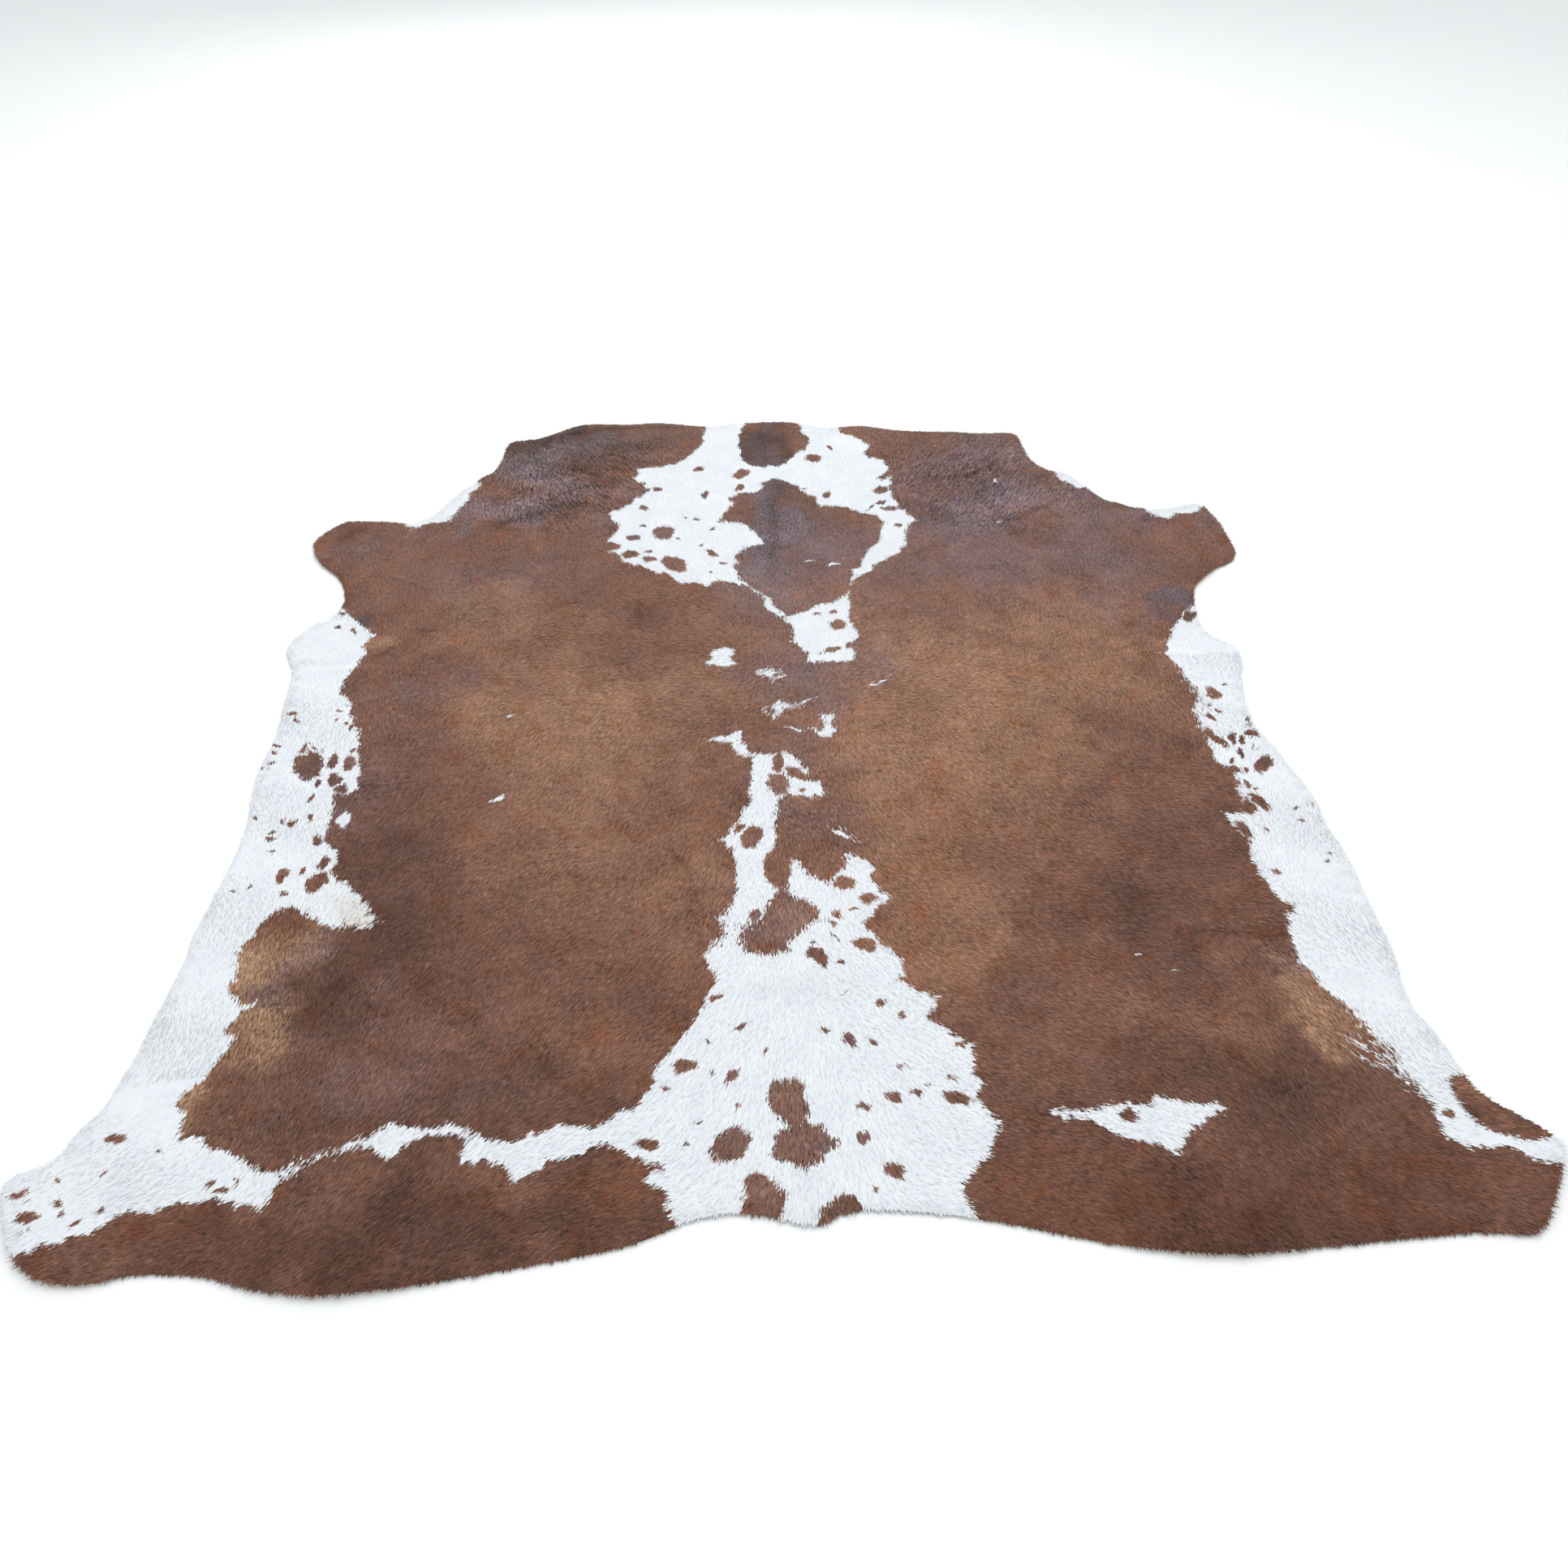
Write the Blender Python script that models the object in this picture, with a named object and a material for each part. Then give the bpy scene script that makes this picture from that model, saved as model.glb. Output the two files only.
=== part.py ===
"""Cowhide rug: one whole hide with its hair on, trimmed by hand round the edge and
laid flat with the hair side up.

Metres, +Z up. The rug lies on z = 0 with the middle of its box over the origin, and
its neck points along +Y. The charts of the rim and of the swells are in centimetres
and are read from the spine: across runs to the right of it, along runs to the neck.
"""

import math
from collections import namedtuple

import bmesh
import bpy
from mathutils import Vector
from mathutils.geometry import interpolate_bezier

CM = 0.01

# Where the spine's middle lies in the frame, whose origin is the middle of the box.
SPINE_ACROSS = 0.0185
SPINE_ALONG = 0.03866

SKIN_THICK = 0.0022
PILE_BACK = 0.0030
PILE_NECK = 0.0040
PILE_BELLY = 0.0022

RIM_STEP = 0.022
CELL = 0.040
CELL_SNAP = 0.005

HAIR_BROWN = (0.171, 0.075, 0.044, 1.0)
HAIR_ROUGHNESS = 0.62

# The rim, clockwise from the left corner of the neck. Each point is (across, along).
NECK_CUT = (
    (-63.4, 96.9), (-61.8, 97.9), (-57.0, 98.2), (-54.0, 99.4), (-50.0, 102.2),
    (-47.0, 104.5), (-43.0, 105.4), (-35.0, 105.4), (-28.0, 106.0), (-14.5, 103.6),
    (-9.0, 105.0), (3.0, 105.6), (7.0, 104.7), (14.0, 102.0), (22.0, 102.4),
    (30.0, 100.0), (45.0, 99.0), (52.0, 97.9), (59.3, 97.8),
)
RIGHT_NECK = (
    (60.1, 96.4), (61.1, 86.0), (63.5, 80.8), (65.3, 79.0), (68.0, 78.6),
    (72.7, 70.0), (75.4, 65.3), (78.2, 64.0), (80.5, 61.9), (84.5, 60.3),
)
RIGHT_FORE_LEG = (
    (88.5, 60.7), (95.4, 63.6), (97.0, 62.4), (98.8, 48.0), (98.6, 42.9),
    (97.1, 40.6), (93.5, 38.3), (87.0, 31.8), (85.1, 27.0),
)
RIGHT_BELLY = (
    (83.8, 17.2), (85.2, 13.0), (88.9, 8.6), (86.8, 0.0), (85.5, -6.0),
    (85.1, -14.0), (87.1, -20.5), (89.2, -32.5), (89.2, -39.5), (90.2, -44.5),
    (89.7, -58.0), (89.8, -65.0), (88.4, -76.0), (89.7, -80.0),
)
RIGHT_HIND_LEG = (
    (91.8, -90.2), (95.0, -93.7), (98.9, -97.8), (99.5, -98.9), (98.4, -100.9),
    (92.2, -109.6), (90.4, -110.8),
)
RUMP_CUT = (
    (83.0, -110.3), (62.0, -111.6), (51.0, -112.2), (38.0, -110.4), (22.0, -106.6),
    (7.0, -104.6), (3.8, -105.1), (0.8, -106.6), (-8.0, -104.7), (-15.0, -105.4),
    (-22.5, -108.4), (-40.0, -111.4), (-57.5, -113.7), (-66.0, -113.0),
    (-75.0, -110.7), (-83.0, -110.3),
)
LEFT_HIND_LEG = (
    (-88.5, -111.4), (-94.6, -110.6), (-98.8, -107.0), (-102.4, -100.8),
    (-103.2, -97.4), (-99.5, -95.9), (-97.7, -94.0), (-96.4, -89.9), (-94.6, -87.4),
)
LEFT_BELLY = (
    (-94.0, -82.0), (-92.4, -69.0), (-91.8, -61.5), (-92.3, -57.5), (-90.7, -44.0),
    (-90.6, -36.0), (-92.2, -20.0), (-91.9, -13.0), (-92.6, -1.0), (-93.5, 8.0),
    (-96.6, 16.2), (-94.8, 20.3), (-92.4, 23.4), (-90.8, 23.7),
)
LEFT_FORE_LEG = (
    (-88.9, 29.0), (-89.4, 33.5), (-91.5, 39.3), (-98.0, 47.0), (-100.0, 52.5),
    (-99.0, 57.2), (-97.0, 60.4), (-95.3, 62.2), (-89.0, 61.4), (-81.0, 60.4),
)
LEFT_NECK = (
    (-77.0, 62.7), (-73.0, 71.5), (-71.2, 75.2), (-69.8, 76.2), (-67.9, 80.0),
    (-65.2, 82.8), (-64.1, 90.0), (-63.9, 94.8),
)

# Soft swells where the skin stands off the floor: its middle, its half length and
# half width, the turn of its length from across to along in degrees, and its rise.
Swell = namedtuple("Swell", "across along half_length half_width turn rise")
SWELLS = (
    Swell(-54.0, 81.0, 27.0, 12.0, 40.0, 1.30),
    Swell(-46.0, 99.0, 20.0, 10.0, -18.0, 0.80),
    Swell(-58.0, 55.0, 24.0, 9.0, 30.0, 0.50),
    Swell(46.0, 86.0, 26.0, 9.0, 27.0, 0.95),
    Swell(54.0, 68.0, 26.0, 9.0, 30.0, 0.65),
    Swell(24.0, 98.0, 16.0, 9.0, 10.0, 0.45),
    Swell(-86.0, 55.0, 9.0, 14.0, 8.0, 0.60),
    Swell(84.0, 54.0, 8.0, 14.0, -6.0, 0.60),
    Swell(-99.0, -100.0, 11.0, 13.0, 30.0, 0.70),
    Swell(97.0, -100.0, 10.0, 12.0, -40.0, 0.60),
    Swell(-58.0, -112.0, 17.0, 9.0, 4.0, 0.55),
    Swell(50.0, -111.0, 16.0, 8.0, -3.0, 0.50),
)

# The thin skin of the belly ripples along its length, more toward the rim.
BELLY_LINE = 68.0
BELLY_REACH = 26.0
BELLY_RISE = 0.55
BELLY_WAVE = 23.0
BELLY_LEAN = 0.45

# Depth of the pile: deepest on the neck, thinnest on the belly.
NECK_LINE = 40.0
NECK_REACH = 50.0


def smooth_step(share):
    share = min(max(share, 0.0), 1.0)
    return share * share * (3.0 - 2.0 * share)


def mix(start, end, share):
    return start + (end - start) * share


def handle_reach(before, here, after):
    """The curve's direction at a charted point, for handles that suit uneven steps."""
    return (after - before) / ((after - here).length + (here - before).length)


def rim_points():
    """The charted rim as one smooth loop, in metres in the rug's own frame."""
    chart = (
        NECK_CUT + RIGHT_NECK + RIGHT_FORE_LEG + RIGHT_BELLY + RIGHT_HIND_LEG
        + RUMP_CUT + LEFT_HIND_LEG + LEFT_BELLY + LEFT_FORE_LEG + LEFT_NECK
    )
    spine = Vector((SPINE_ACROSS, SPINE_ALONG, 0.0))
    corners = [Vector((across, along, 0.0)) * CM + spine for across, along in chart]
    count = len(corners)
    rim = []
    for index, start in enumerate(corners):
        end = corners[(index + 1) % count]
        span = (end - start).length
        leave = handle_reach(corners[index - 1], start, end)
        arrive = handle_reach(start, end, corners[(index + 2) % count])
        steps = max(1, round(span / RIM_STEP))
        curve = interpolate_bezier(
            start, start + leave * span / 3, end - arrive * span / 3, end, steps + 1
        )
        rim.extend(curve[:-1])
    return rim


def swell_rise(swell, across, along):
    """How far one swell lifts the skin there, in centimetres: a smooth oval bell."""
    turn = math.radians(swell.turn)
    right, forward = across - swell.across, along - swell.along
    lengthwise = (right * math.cos(turn) + forward * math.sin(turn)) / swell.half_length
    crosswise = (forward * math.cos(turn) - right * math.sin(turn)) / swell.half_width
    return swell.rise * smooth_step(1.0 - math.hypot(lengthwise, crosswise))


def skin_lift(across, along):
    """Height of the skin's underside over the floor, in metres. It is never below."""
    swells = sum(swell_rise(swell, across, along) for swell in SWELLS)
    edge = smooth_step((abs(across) - BELLY_LINE) / BELLY_REACH)
    phase = 2 * math.pi * (along + BELLY_LEAN * across) / BELLY_WAVE
    ripple = BELLY_RISE * edge * (0.5 + 0.5 * math.sin(phase))
    return (swells + ripple) * CM


def pile_depth(across, along):
    """Depth of the lying hair, in metres."""
    neck = smooth_step((along - NECK_LINE) / NECK_REACH)
    belly = smooth_step((abs(across) - BELLY_LINE) / BELLY_REACH)
    return mix(mix(PILE_BACK, PILE_NECK, neck), PILE_BELLY, belly)


def cut_into_cells(sheet):
    """Cuts the flat sheet along a square grid, so that its faces can take the relief."""
    for axis in (0, 1):
        reach = max(abs(vert.co[axis]) for vert in sheet.verts)
        lines = math.floor(reach / CELL)
        for line in range(-lines, lines + 1):
            place, normal = Vector(), Vector()
            place[axis] = line * CELL
            normal[axis] = 1.0
            bmesh.ops.bisect_plane(
                sheet,
                geom=sheet.verts[:] + sheet.edges[:] + sheet.faces[:],
                dist=CELL_SNAP,
                plane_co=place,
                plane_no=normal,
            )


def lay_relief(verts, hair_side):
    """Lifts the flat verts to the underside of the skin, or to the top of the hair."""
    for vert in verts:
        across = (vert.co.x - SPINE_ACROSS) / CM
        along = (vert.co.y - SPINE_ALONG) / CM
        vert.co.z = skin_lift(across, along)
        if hair_side:
            vert.co.z += SKIN_THICK + pile_depth(across, along)


def hide_mesh():
    """The hide as one closed sheet, from the skin's underside to the top of the hair."""
    sheet = bmesh.new()
    sheet.faces.new([sheet.verts.new(point) for point in rim_points()])
    cut_into_cells(sheet)
    bmesh.ops.triangulate(sheet, faces=sheet.faces[:], ngon_method="BEAUTY")
    underside = sheet.verts[:]
    raised = bmesh.ops.extrude_face_region(
        sheet, geom=sheet.faces[:], use_keep_orig=True
    )
    top = [part for part in raised["geom"] if isinstance(part, bmesh.types.BMVert)]
    lay_relief(underside, hair_side=False)
    lay_relief(top, hair_side=True)
    bmesh.ops.recalc_face_normals(sheet, faces=sheet.faces[:])
    mesh = bpy.data.meshes.new("hide")
    sheet.to_mesh(mesh)
    sheet.free()
    mesh.shade_smooth()
    mesh.set_sharp_from_angle(angle=math.radians(50))
    return mesh


def hair_material():
    material = bpy.data.materials.new("cow_hair")
    material.use_nodes = True
    shader = material.node_tree.nodes["Principled BSDF"]
    shader.inputs["Base Color"].default_value = HAIR_BROWN
    shader.inputs["Roughness"].default_value = HAIR_ROUGHNESS
    shader.inputs["Metallic"].default_value = 0.0
    return material


def make_hide():
    hide = bpy.data.objects.new("hide", hide_mesh())
    hide.data.materials.append(hair_material())
    bpy.context.scene.collection.objects.link(hide)
    return hide


for left_over in list(bpy.data.objects):
    bpy.data.objects.remove(left_over, do_unlink=True)

make_hide()
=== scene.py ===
import math
from collections import namedtuple

import bmesh
import bpy
import numpy as np
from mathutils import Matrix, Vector
from mathutils.bvhtree import BVHTree


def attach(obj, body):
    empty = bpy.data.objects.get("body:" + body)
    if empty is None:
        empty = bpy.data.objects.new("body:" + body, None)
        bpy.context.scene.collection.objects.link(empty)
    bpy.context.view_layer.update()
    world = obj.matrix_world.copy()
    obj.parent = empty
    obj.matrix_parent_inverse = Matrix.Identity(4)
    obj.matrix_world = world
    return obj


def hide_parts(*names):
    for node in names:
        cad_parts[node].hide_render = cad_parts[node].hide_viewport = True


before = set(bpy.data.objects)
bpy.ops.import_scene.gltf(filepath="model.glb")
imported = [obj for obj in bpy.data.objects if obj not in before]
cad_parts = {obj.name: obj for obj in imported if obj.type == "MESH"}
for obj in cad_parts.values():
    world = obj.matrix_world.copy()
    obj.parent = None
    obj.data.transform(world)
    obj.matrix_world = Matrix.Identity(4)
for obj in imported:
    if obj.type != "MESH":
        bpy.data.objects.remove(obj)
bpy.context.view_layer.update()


# ---------------------------------------------------------------------------
# The hide: one whole cow skin, tanned with its hair on, trimmed by hand and laid flat
# with the hair up. Its charts are in centimetres from the middle of the spine: across
# runs to the right of it, and along runs toward the neck.

CM = 0.01

# In metres: the middle of the spine, and the eye that the charts are read from.
SPINE_ACROSS = 0.0185
SPINE_ALONG = 0.03866
EYE = (-0.0418, -1.7803, 1.477)

# White hair, each outline read from one place on the hide. Past the rim an outline
# only has to close.
NECK_LEFT_EDGE = (
    (-14.8, 108.0), (-16.8, 101.0), (-16.4, 98.0), (-19.7, 90.5), (-23.0, 86.8),
    (-27.5, 85.5), (-32.3, 84.2), (-31.5, 82.3), (-33.0, 80.3), (-30.5, 77.8), (-28.8, 75.0),
    (-30.0, 73.0), (-34.5, 67.0), (-37.3, 64.7), (-35.0, 60.5), (-34.8, 57.3), (-38.5, 51.0),
    (-34.5, 48.2), (-33.3, 45.6), (-28.2, 43.2), (-24.7, 40.3), (-20.3, 36.3), (-17.5, 36.8),
    (-15.0, 35.0), (-12.6, 37.6), (-8.5, 36.0), (-5.5, 34.8),
)
STRAND_LEFT_SIDE = ((-5.8, 33.7), (-3.3, 31.0), (-2.8, 27.0), (0.8, 23.2))
WITHERS_DIAMOND = (
    (2.7, 20.0), (2.3, 16.0), (5.1, 12.0), (4.7, 8.9), (8.0, 8.8), (14.0, 9.0), (13.7, 11.0),
    (13.8, 14.5), (15.7, 17.5), (14.5, 20.0), (14.0, 24.5), (14.4, 32.4), (12.5, 29.4),
    (7.2, 27.3), (4.0, 24.9), (1.3, 23.6),
)
STRAND_RIGHT_SIDE = ((-0.4, 26.9), (-2.5, 30.9), (-5.0, 33.6))
SADDLE_LEFT_EDGE = (
    (-6.0, 35.5), (-8.3, 37.3), (-9.2, 42.0), (-8.7, 44.5), (-9.2, 46.5), (-6.5, 50.2),
    (-2.5, 50.8), (-4.9, 56.5), (-7.5, 59.6), (-12.9, 60.7), (-11.0, 65.0), (-9.2, 68.4),
    (-10.2, 70.4), (-8.2, 72.8), (-4.0, 73.4), (-2.3, 75.2), (-2.9, 77.0), (0.5, 79.5),
)
SADDLE_RIGHT_EDGE = (
    (2.5, 78.5), (5.5, 76.0), (7.0, 72.5), (9.8, 70.0), (10.5, 66.5), (16.0, 66.2),
    (20.0, 62.8), (22.9, 62.7), (24.1, 59.5), (23.8, 56.7), (22.3, 51.4), (18.4, 45.0),
    (17.9, 42.5), (16.0, 40.4), (16.4, 38.5), (15.4, 36.2), (15.1, 34.4),
)
NECK_RIGHT_EDGE = (
    (16.0, 36.4), (19.0, 39.5), (21.5, 42.9), (25.5, 46.0), (28.4, 50.4), (29.1, 56.7),
    (31.3, 59.5), (29.4, 64.0), (27.9, 65.0), (28.2, 67.2), (26.4, 73.7), (27.5, 77.0),
    (27.8, 79.4), (25.6, 77.4), (24.7, 78.9), (27.8, 83.0), (26.8, 84.8), (27.2, 86.8),
    (23.4, 88.6), (22.3, 90.6), (23.9, 94.5), (20.3, 99.3), (17.2, 101.0), (17.0, 108.0),
)
NECK_WHITE = (
    NECK_LEFT_EDGE + STRAND_LEFT_SIDE + WITHERS_DIAMOND + STRAND_RIGHT_SIDE
    + SADDLE_LEFT_EDGE + SADDLE_RIGHT_EDGE + NECK_RIGHT_EDGE
)
SHOULDER_SQUARE = (
    (-11.0, 14.4), (-9.1, 12.8), (-9.8, 11.3), (-9.0, 8.3), (-13.0, 8.3), (-15.0, 8.7),
    (-13.6, 11.0), (-13.9, 12.5), (-12.8, 13.5),
)
HIGH_FLECK = (
    (-5.2, 6.0), (-3.0, 6.8), (-0.5, 6.2), (0.2, 5.0), (-1.8, 3.5), (-2.8, 4.7), (-4.5, 5.3),
)
MIDDLE_FLECK = (
    (-0.5, -2.8), (0.0, -4.0), (3.0, -3.9), (1.4, -4.9), (-0.5, -5.5), (-1.5, -7.6),
    (-4.0, -6.2), (-4.2, -5.0), (-2.2, -4.5),
)
LOW_FLECK = (
    (6.2, -7.0), (9.3, -6.7), (8.3, -10.0), (9.1, -11.0), (7.2, -13.4), (4.3, -10.4),
    (6.0, -11.3), (6.8, -10.6), (7.0, -9.0),
)
STRIPE_LEFT_EDGE = (
    (-14.0, -13.2), (-9.8, -14.4), (-8.6, -17.9), (-6.3, -18.5), (-6.8, -25.1), (-6.8, -29.9),
    (-8.9, -34.5), (-12.0, -38.7), (-9.8, -40.2), (-8.8, -47.0), (-10.0, -53.0),
    (-12.2, -55.4), (-11.3, -56.1), (-11.4, -59.3), (-14.4, -63.2), (-12.3, -66.5),
    (-12.5, -68.5), (-15.5, -75.0), (-19.6, -81.0), (-22.3, -88.0), (-28.7, -91.9),
    (-33.0, -91.4), (-40.5, -93.7), (-44.8, -91.8), (-47.0, -90.6), (-51.5, -91.3),
    (-56.0, -90.3), (-59.0, -92.3), (-61.6, -93.4), (-64.0, -94.6), (-66.4, -95.6),
)
STREAK_LOWER_EDGE = (
    (-66.6, -96.2), (-64.2, -95.2), (-61.6, -94.1), (-58.6, -93.6), (-57.4, -94.2),
    (-54.8, -95.5), (-52.0, -92.8), (-48.5, -91.8), (-45.0, -93.0), (-45.9, -96.4),
    (-42.0, -96.2), (-39.3, -97.2), (-38.1, -99.4), (-34.0, -96.5), (-30.5, -95.6),
    (-27.6, -94.1), (-24.4, -95.4), (-19.4, -98.0), (-21.4, -100.0), (-18.7, -101.0),
    (-18.4, -103.8), (-16.6, -105.4), (-16.6, -110.0),
)
RUMP_RIGHT_EDGE = (
    (20.6, -110.0), (20.8, -105.5), (19.6, -102.0), (21.5, -99.8), (24.0, -96.7),
    (26.6, -92.8), (22.9, -88.9), (25.1, -86.3), (23.4, -84.5), (23.9, -80.6), (21.6, -78.5),
    (17.8, -75.2), (20.3, -72.1), (17.5, -70.6), (14.4, -68.4), (15.7, -67.4), (15.2, -64.5),
    (11.8, -60.0), (10.4, -57.0), (15.0, -52.1), (12.6, -48.3), (13.0, -45.9), (12.0, -43.8),
    (8.4, -42.4), (8.9, -45.5), (6.0, -47.5), (5.5, -48.8), (2.5, -47.0), (1.3, -45.0),
    (0.0, -43.3),
)
STRIPE_RIGHT_EDGE = (
    (-2.7, -39.5), (-2.8, -34.0), (-2.0, -29.2), (0.3, -27.7), (3.5, -28.9), (6.3, -28.5),
    (4.7, -25.0), (2.0, -23.9), (3.3, -22.5), (1.3, -19.4), (-0.5, -16.9), (-2.8, -17.5),
    (-6.3, -17.8), (-7.0, -16.1), (-8.5, -12.9), (-7.8, -10.9), (-10.2, -12.0),
)
RUMP_WHITE = STRIPE_LEFT_EDGE + STREAK_LOWER_EDGE + RUMP_RIGHT_EDGE + STRIPE_RIGHT_EDGE
HIP_PATCH = (
    (32.6, -91.0), (38.5, -91.3), (43.0, -90.5), (46.4, -91.0), (48.1, -89.5), (54.0, -90.7),
    (56.4, -90.6), (57.0, -91.6), (54.0, -93.6), (50.4, -95.0), (48.9, -97.9), (46.5, -96.7),
    (42.0, -95.7), (38.0, -92.6), (34.0, -92.0),
)
RIGHT_BELLY_WHITE = (
    (106.0, 26.0), (84.9, 25.0), (82.0, 22.4), (80.7, 20.4), (78.6, 17.6), (76.0, 13.0),
    (76.1, 11.0), (74.3, 9.8), (76.2, 5.5), (77.5, -1.0), (77.8, -5.0), (75.5, -8.0),
    (76.0, -14.3), (76.1, -21.5), (78.3, -25.2), (77.9, -29.0), (76.9, -35.3), (73.5, -35.0),
    (75.8, -41.5), (74.7, -46.0), (75.1, -49.6), (76.8, -55.0), (78.5, -55.2), (78.3, -57.1),
    (76.4, -57.8), (75.8, -63.0), (75.3, -67.0), (76.6, -69.3), (79.7, -75.5), (83.2, -83.9),
    (82.8, -86.0), (85.6, -91.9), (85.1, -96.4), (87.8, -98.5), (93.9, -99.0), (96.1, -101.1),
    (98.3, -101.2), (106.0, -101.5),
)
RIGHT_LEG_STRIP = (
    (84.0, 62.0), (85.8, 59.7), (88.6, 58.6), (90.5, 60.8), (95.0, 61.0), (96.3, 62.2),
    (98.0, 66.0), (84.0, 66.0),
)
RIGHT_NECK_STRIP = (
    (66.8, 80.0), (67.1, 76.7), (68.8, 74.8), (71.0, 72.6), (75.0, 73.0), (70.0, 82.0),
)
LEFT_NECK_STRIP = (
    (-68.0, 79.0), (-69.8, 75.0), (-70.2, 70.4), (-72.0, 66.8), (-73.6, 62.5), (-77.5, 61.9),
    (-79.7, 60.5), (-80.0, 59.0), (-81.0, 60.2), (-84.0, 64.0), (-72.0, 80.0),
)
LEFT_BELLY_WHITE = (
    (-108.0, 29.4), (-88.7, 29.4), (-87.5, 27.4), (-84.5, 24.5), (-80.7, 20.2), (-82.3, 17.0),
    (-81.3, 14.3), (-82.6, 10.0), (-83.2, 7.5), (-83.7, 2.8), (-81.3, -0.7), (-78.8, -6.5),
    (-77.3, -9.5), (-76.7, -14.5), (-75.2, -20.2), (-75.0, -24.5), (-78.2, -25.5),
    (-77.3, -30.8), (-77.7, -36.5), (-74.6, -39.1), (-74.4, -44.0), (-71.3, -47.0),
    (-67.7, -50.5), (-65.5, -54.2), (-66.2, -55.5), (-73.0, -54.9), (-77.3, -52.3),
    (-79.2, -50.6), (-82.0, -52.3), (-83.5, -56.5), (-85.0, -60.5), (-84.1, -65.0),
    (-84.8, -66.7), (-81.5, -70.3), (-79.4, -69.1), (-83.0, -74.0), (-80.6, -75.8),
    (-82.3, -80.0), (-85.8, -85.9), (-84.2, -88.0), (-83.6, -92.0), (-80.8, -91.1),
    (-79.8, -92.7), (-75.0, -94.3), (-70.9, -97.1), (-66.5, -96.0), (-67.4, -97.3),
    (-69.3, -100.0), (-70.0, -102.2), (-76.0, -100.4), (-80.5, -100.8), (-84.0, -102.3),
    (-87.5, -101.8), (-91.0, -104.8), (-98.9, -107.0), (-108.0, -110.0),
)
WHITE_PATCHES = (
    NECK_WHITE, SHOULDER_SQUARE, HIGH_FLECK, MIDDLE_FLECK, LOW_FLECK, RUMP_WHITE,
    HIP_PATCH, RIGHT_BELLY_WHITE, RIGHT_LEG_STRIP, RIGHT_NECK_STRIP, LEFT_NECK_STRIP,
    LEFT_BELLY_WHITE,
)

# Brown islands in the white.
NECK_ISLAND = (
    (-5.5, 109.0), (-7.9, 101.0), (-7.4, 99.5), (-8.4, 95.0), (-7.3, 92.0), (-7.8, 90.0),
    (-5.0, 85.1), (-2.0, 84.8), (2.8, 85.4), (5.0, 89.6), (8.4, 93.0), (9.4, 98.0),
    (7.6, 102.4), (7.0, 109.0),
)
LOIN_ISLAND = (
    (-2.0, -49.7), (0.8, -51.7), (3.8, -53.8), (3.9, -55.7), (1.3, -58.3), (-0.8, -60.3),
    (-1.0, -62.2), (-4.0, -63.4), (-7.7, -62.4), (-9.0, -60.5), (-8.5, -57.5), (-5.3, -55.5),
    (-3.7, -51.6),
)
TAIL_UPPER_ISLAND = (
    (-4.5, -85.2), (-1.2, -84.9), (0.7, -88.9), (0.0, -92.4), (-2.2, -92.8), (-5.3, -88.5),
)
TAIL_LOWER_ISLAND = (
    (-4.3, -93.8), (-1.8, -92.3), (2.0, -92.2), (2.9, -93.9), (4.9, -95.0), (2.0, -96.5),
    (0.0, -99.5), (-0.9, -98.5), (-4.5, -96.5),
)
LEFT_RIM_ISLAND = (
    (-8.8, -109.0), (-8.6, -102.0), (-8.1, -100.0), (-6.9, -98.9), (-4.0, -101.0),
    (-3.0, -102.4), (-4.8, -109.0),
)
RIGHT_RIM_ISLAND = (
    (0.7, -109.0), (1.5, -104.1), (4.0, -102.4), (5.5, -102.8), (6.6, -104.6), (6.6, -109.0),
)
RIGHT_LEG_CORNER = (
    (94.0, -86.5), (90.5, -87.6), (89.2, -87.9), (88.7, -91.5), (89.8, -95.0), (93.5, -97.0),
    (97.0, -97.8), (103.0, -96.5),
)
BROWN_ISLANDS = (
    NECK_ISLAND, LOIN_ISLAND, TAIL_UPPER_ISLAND, TAIL_LOWER_ISLAND, LEFT_RIM_ISLAND,
    RIGHT_RIM_ISLAND, RIGHT_LEG_CORNER,
)

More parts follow.
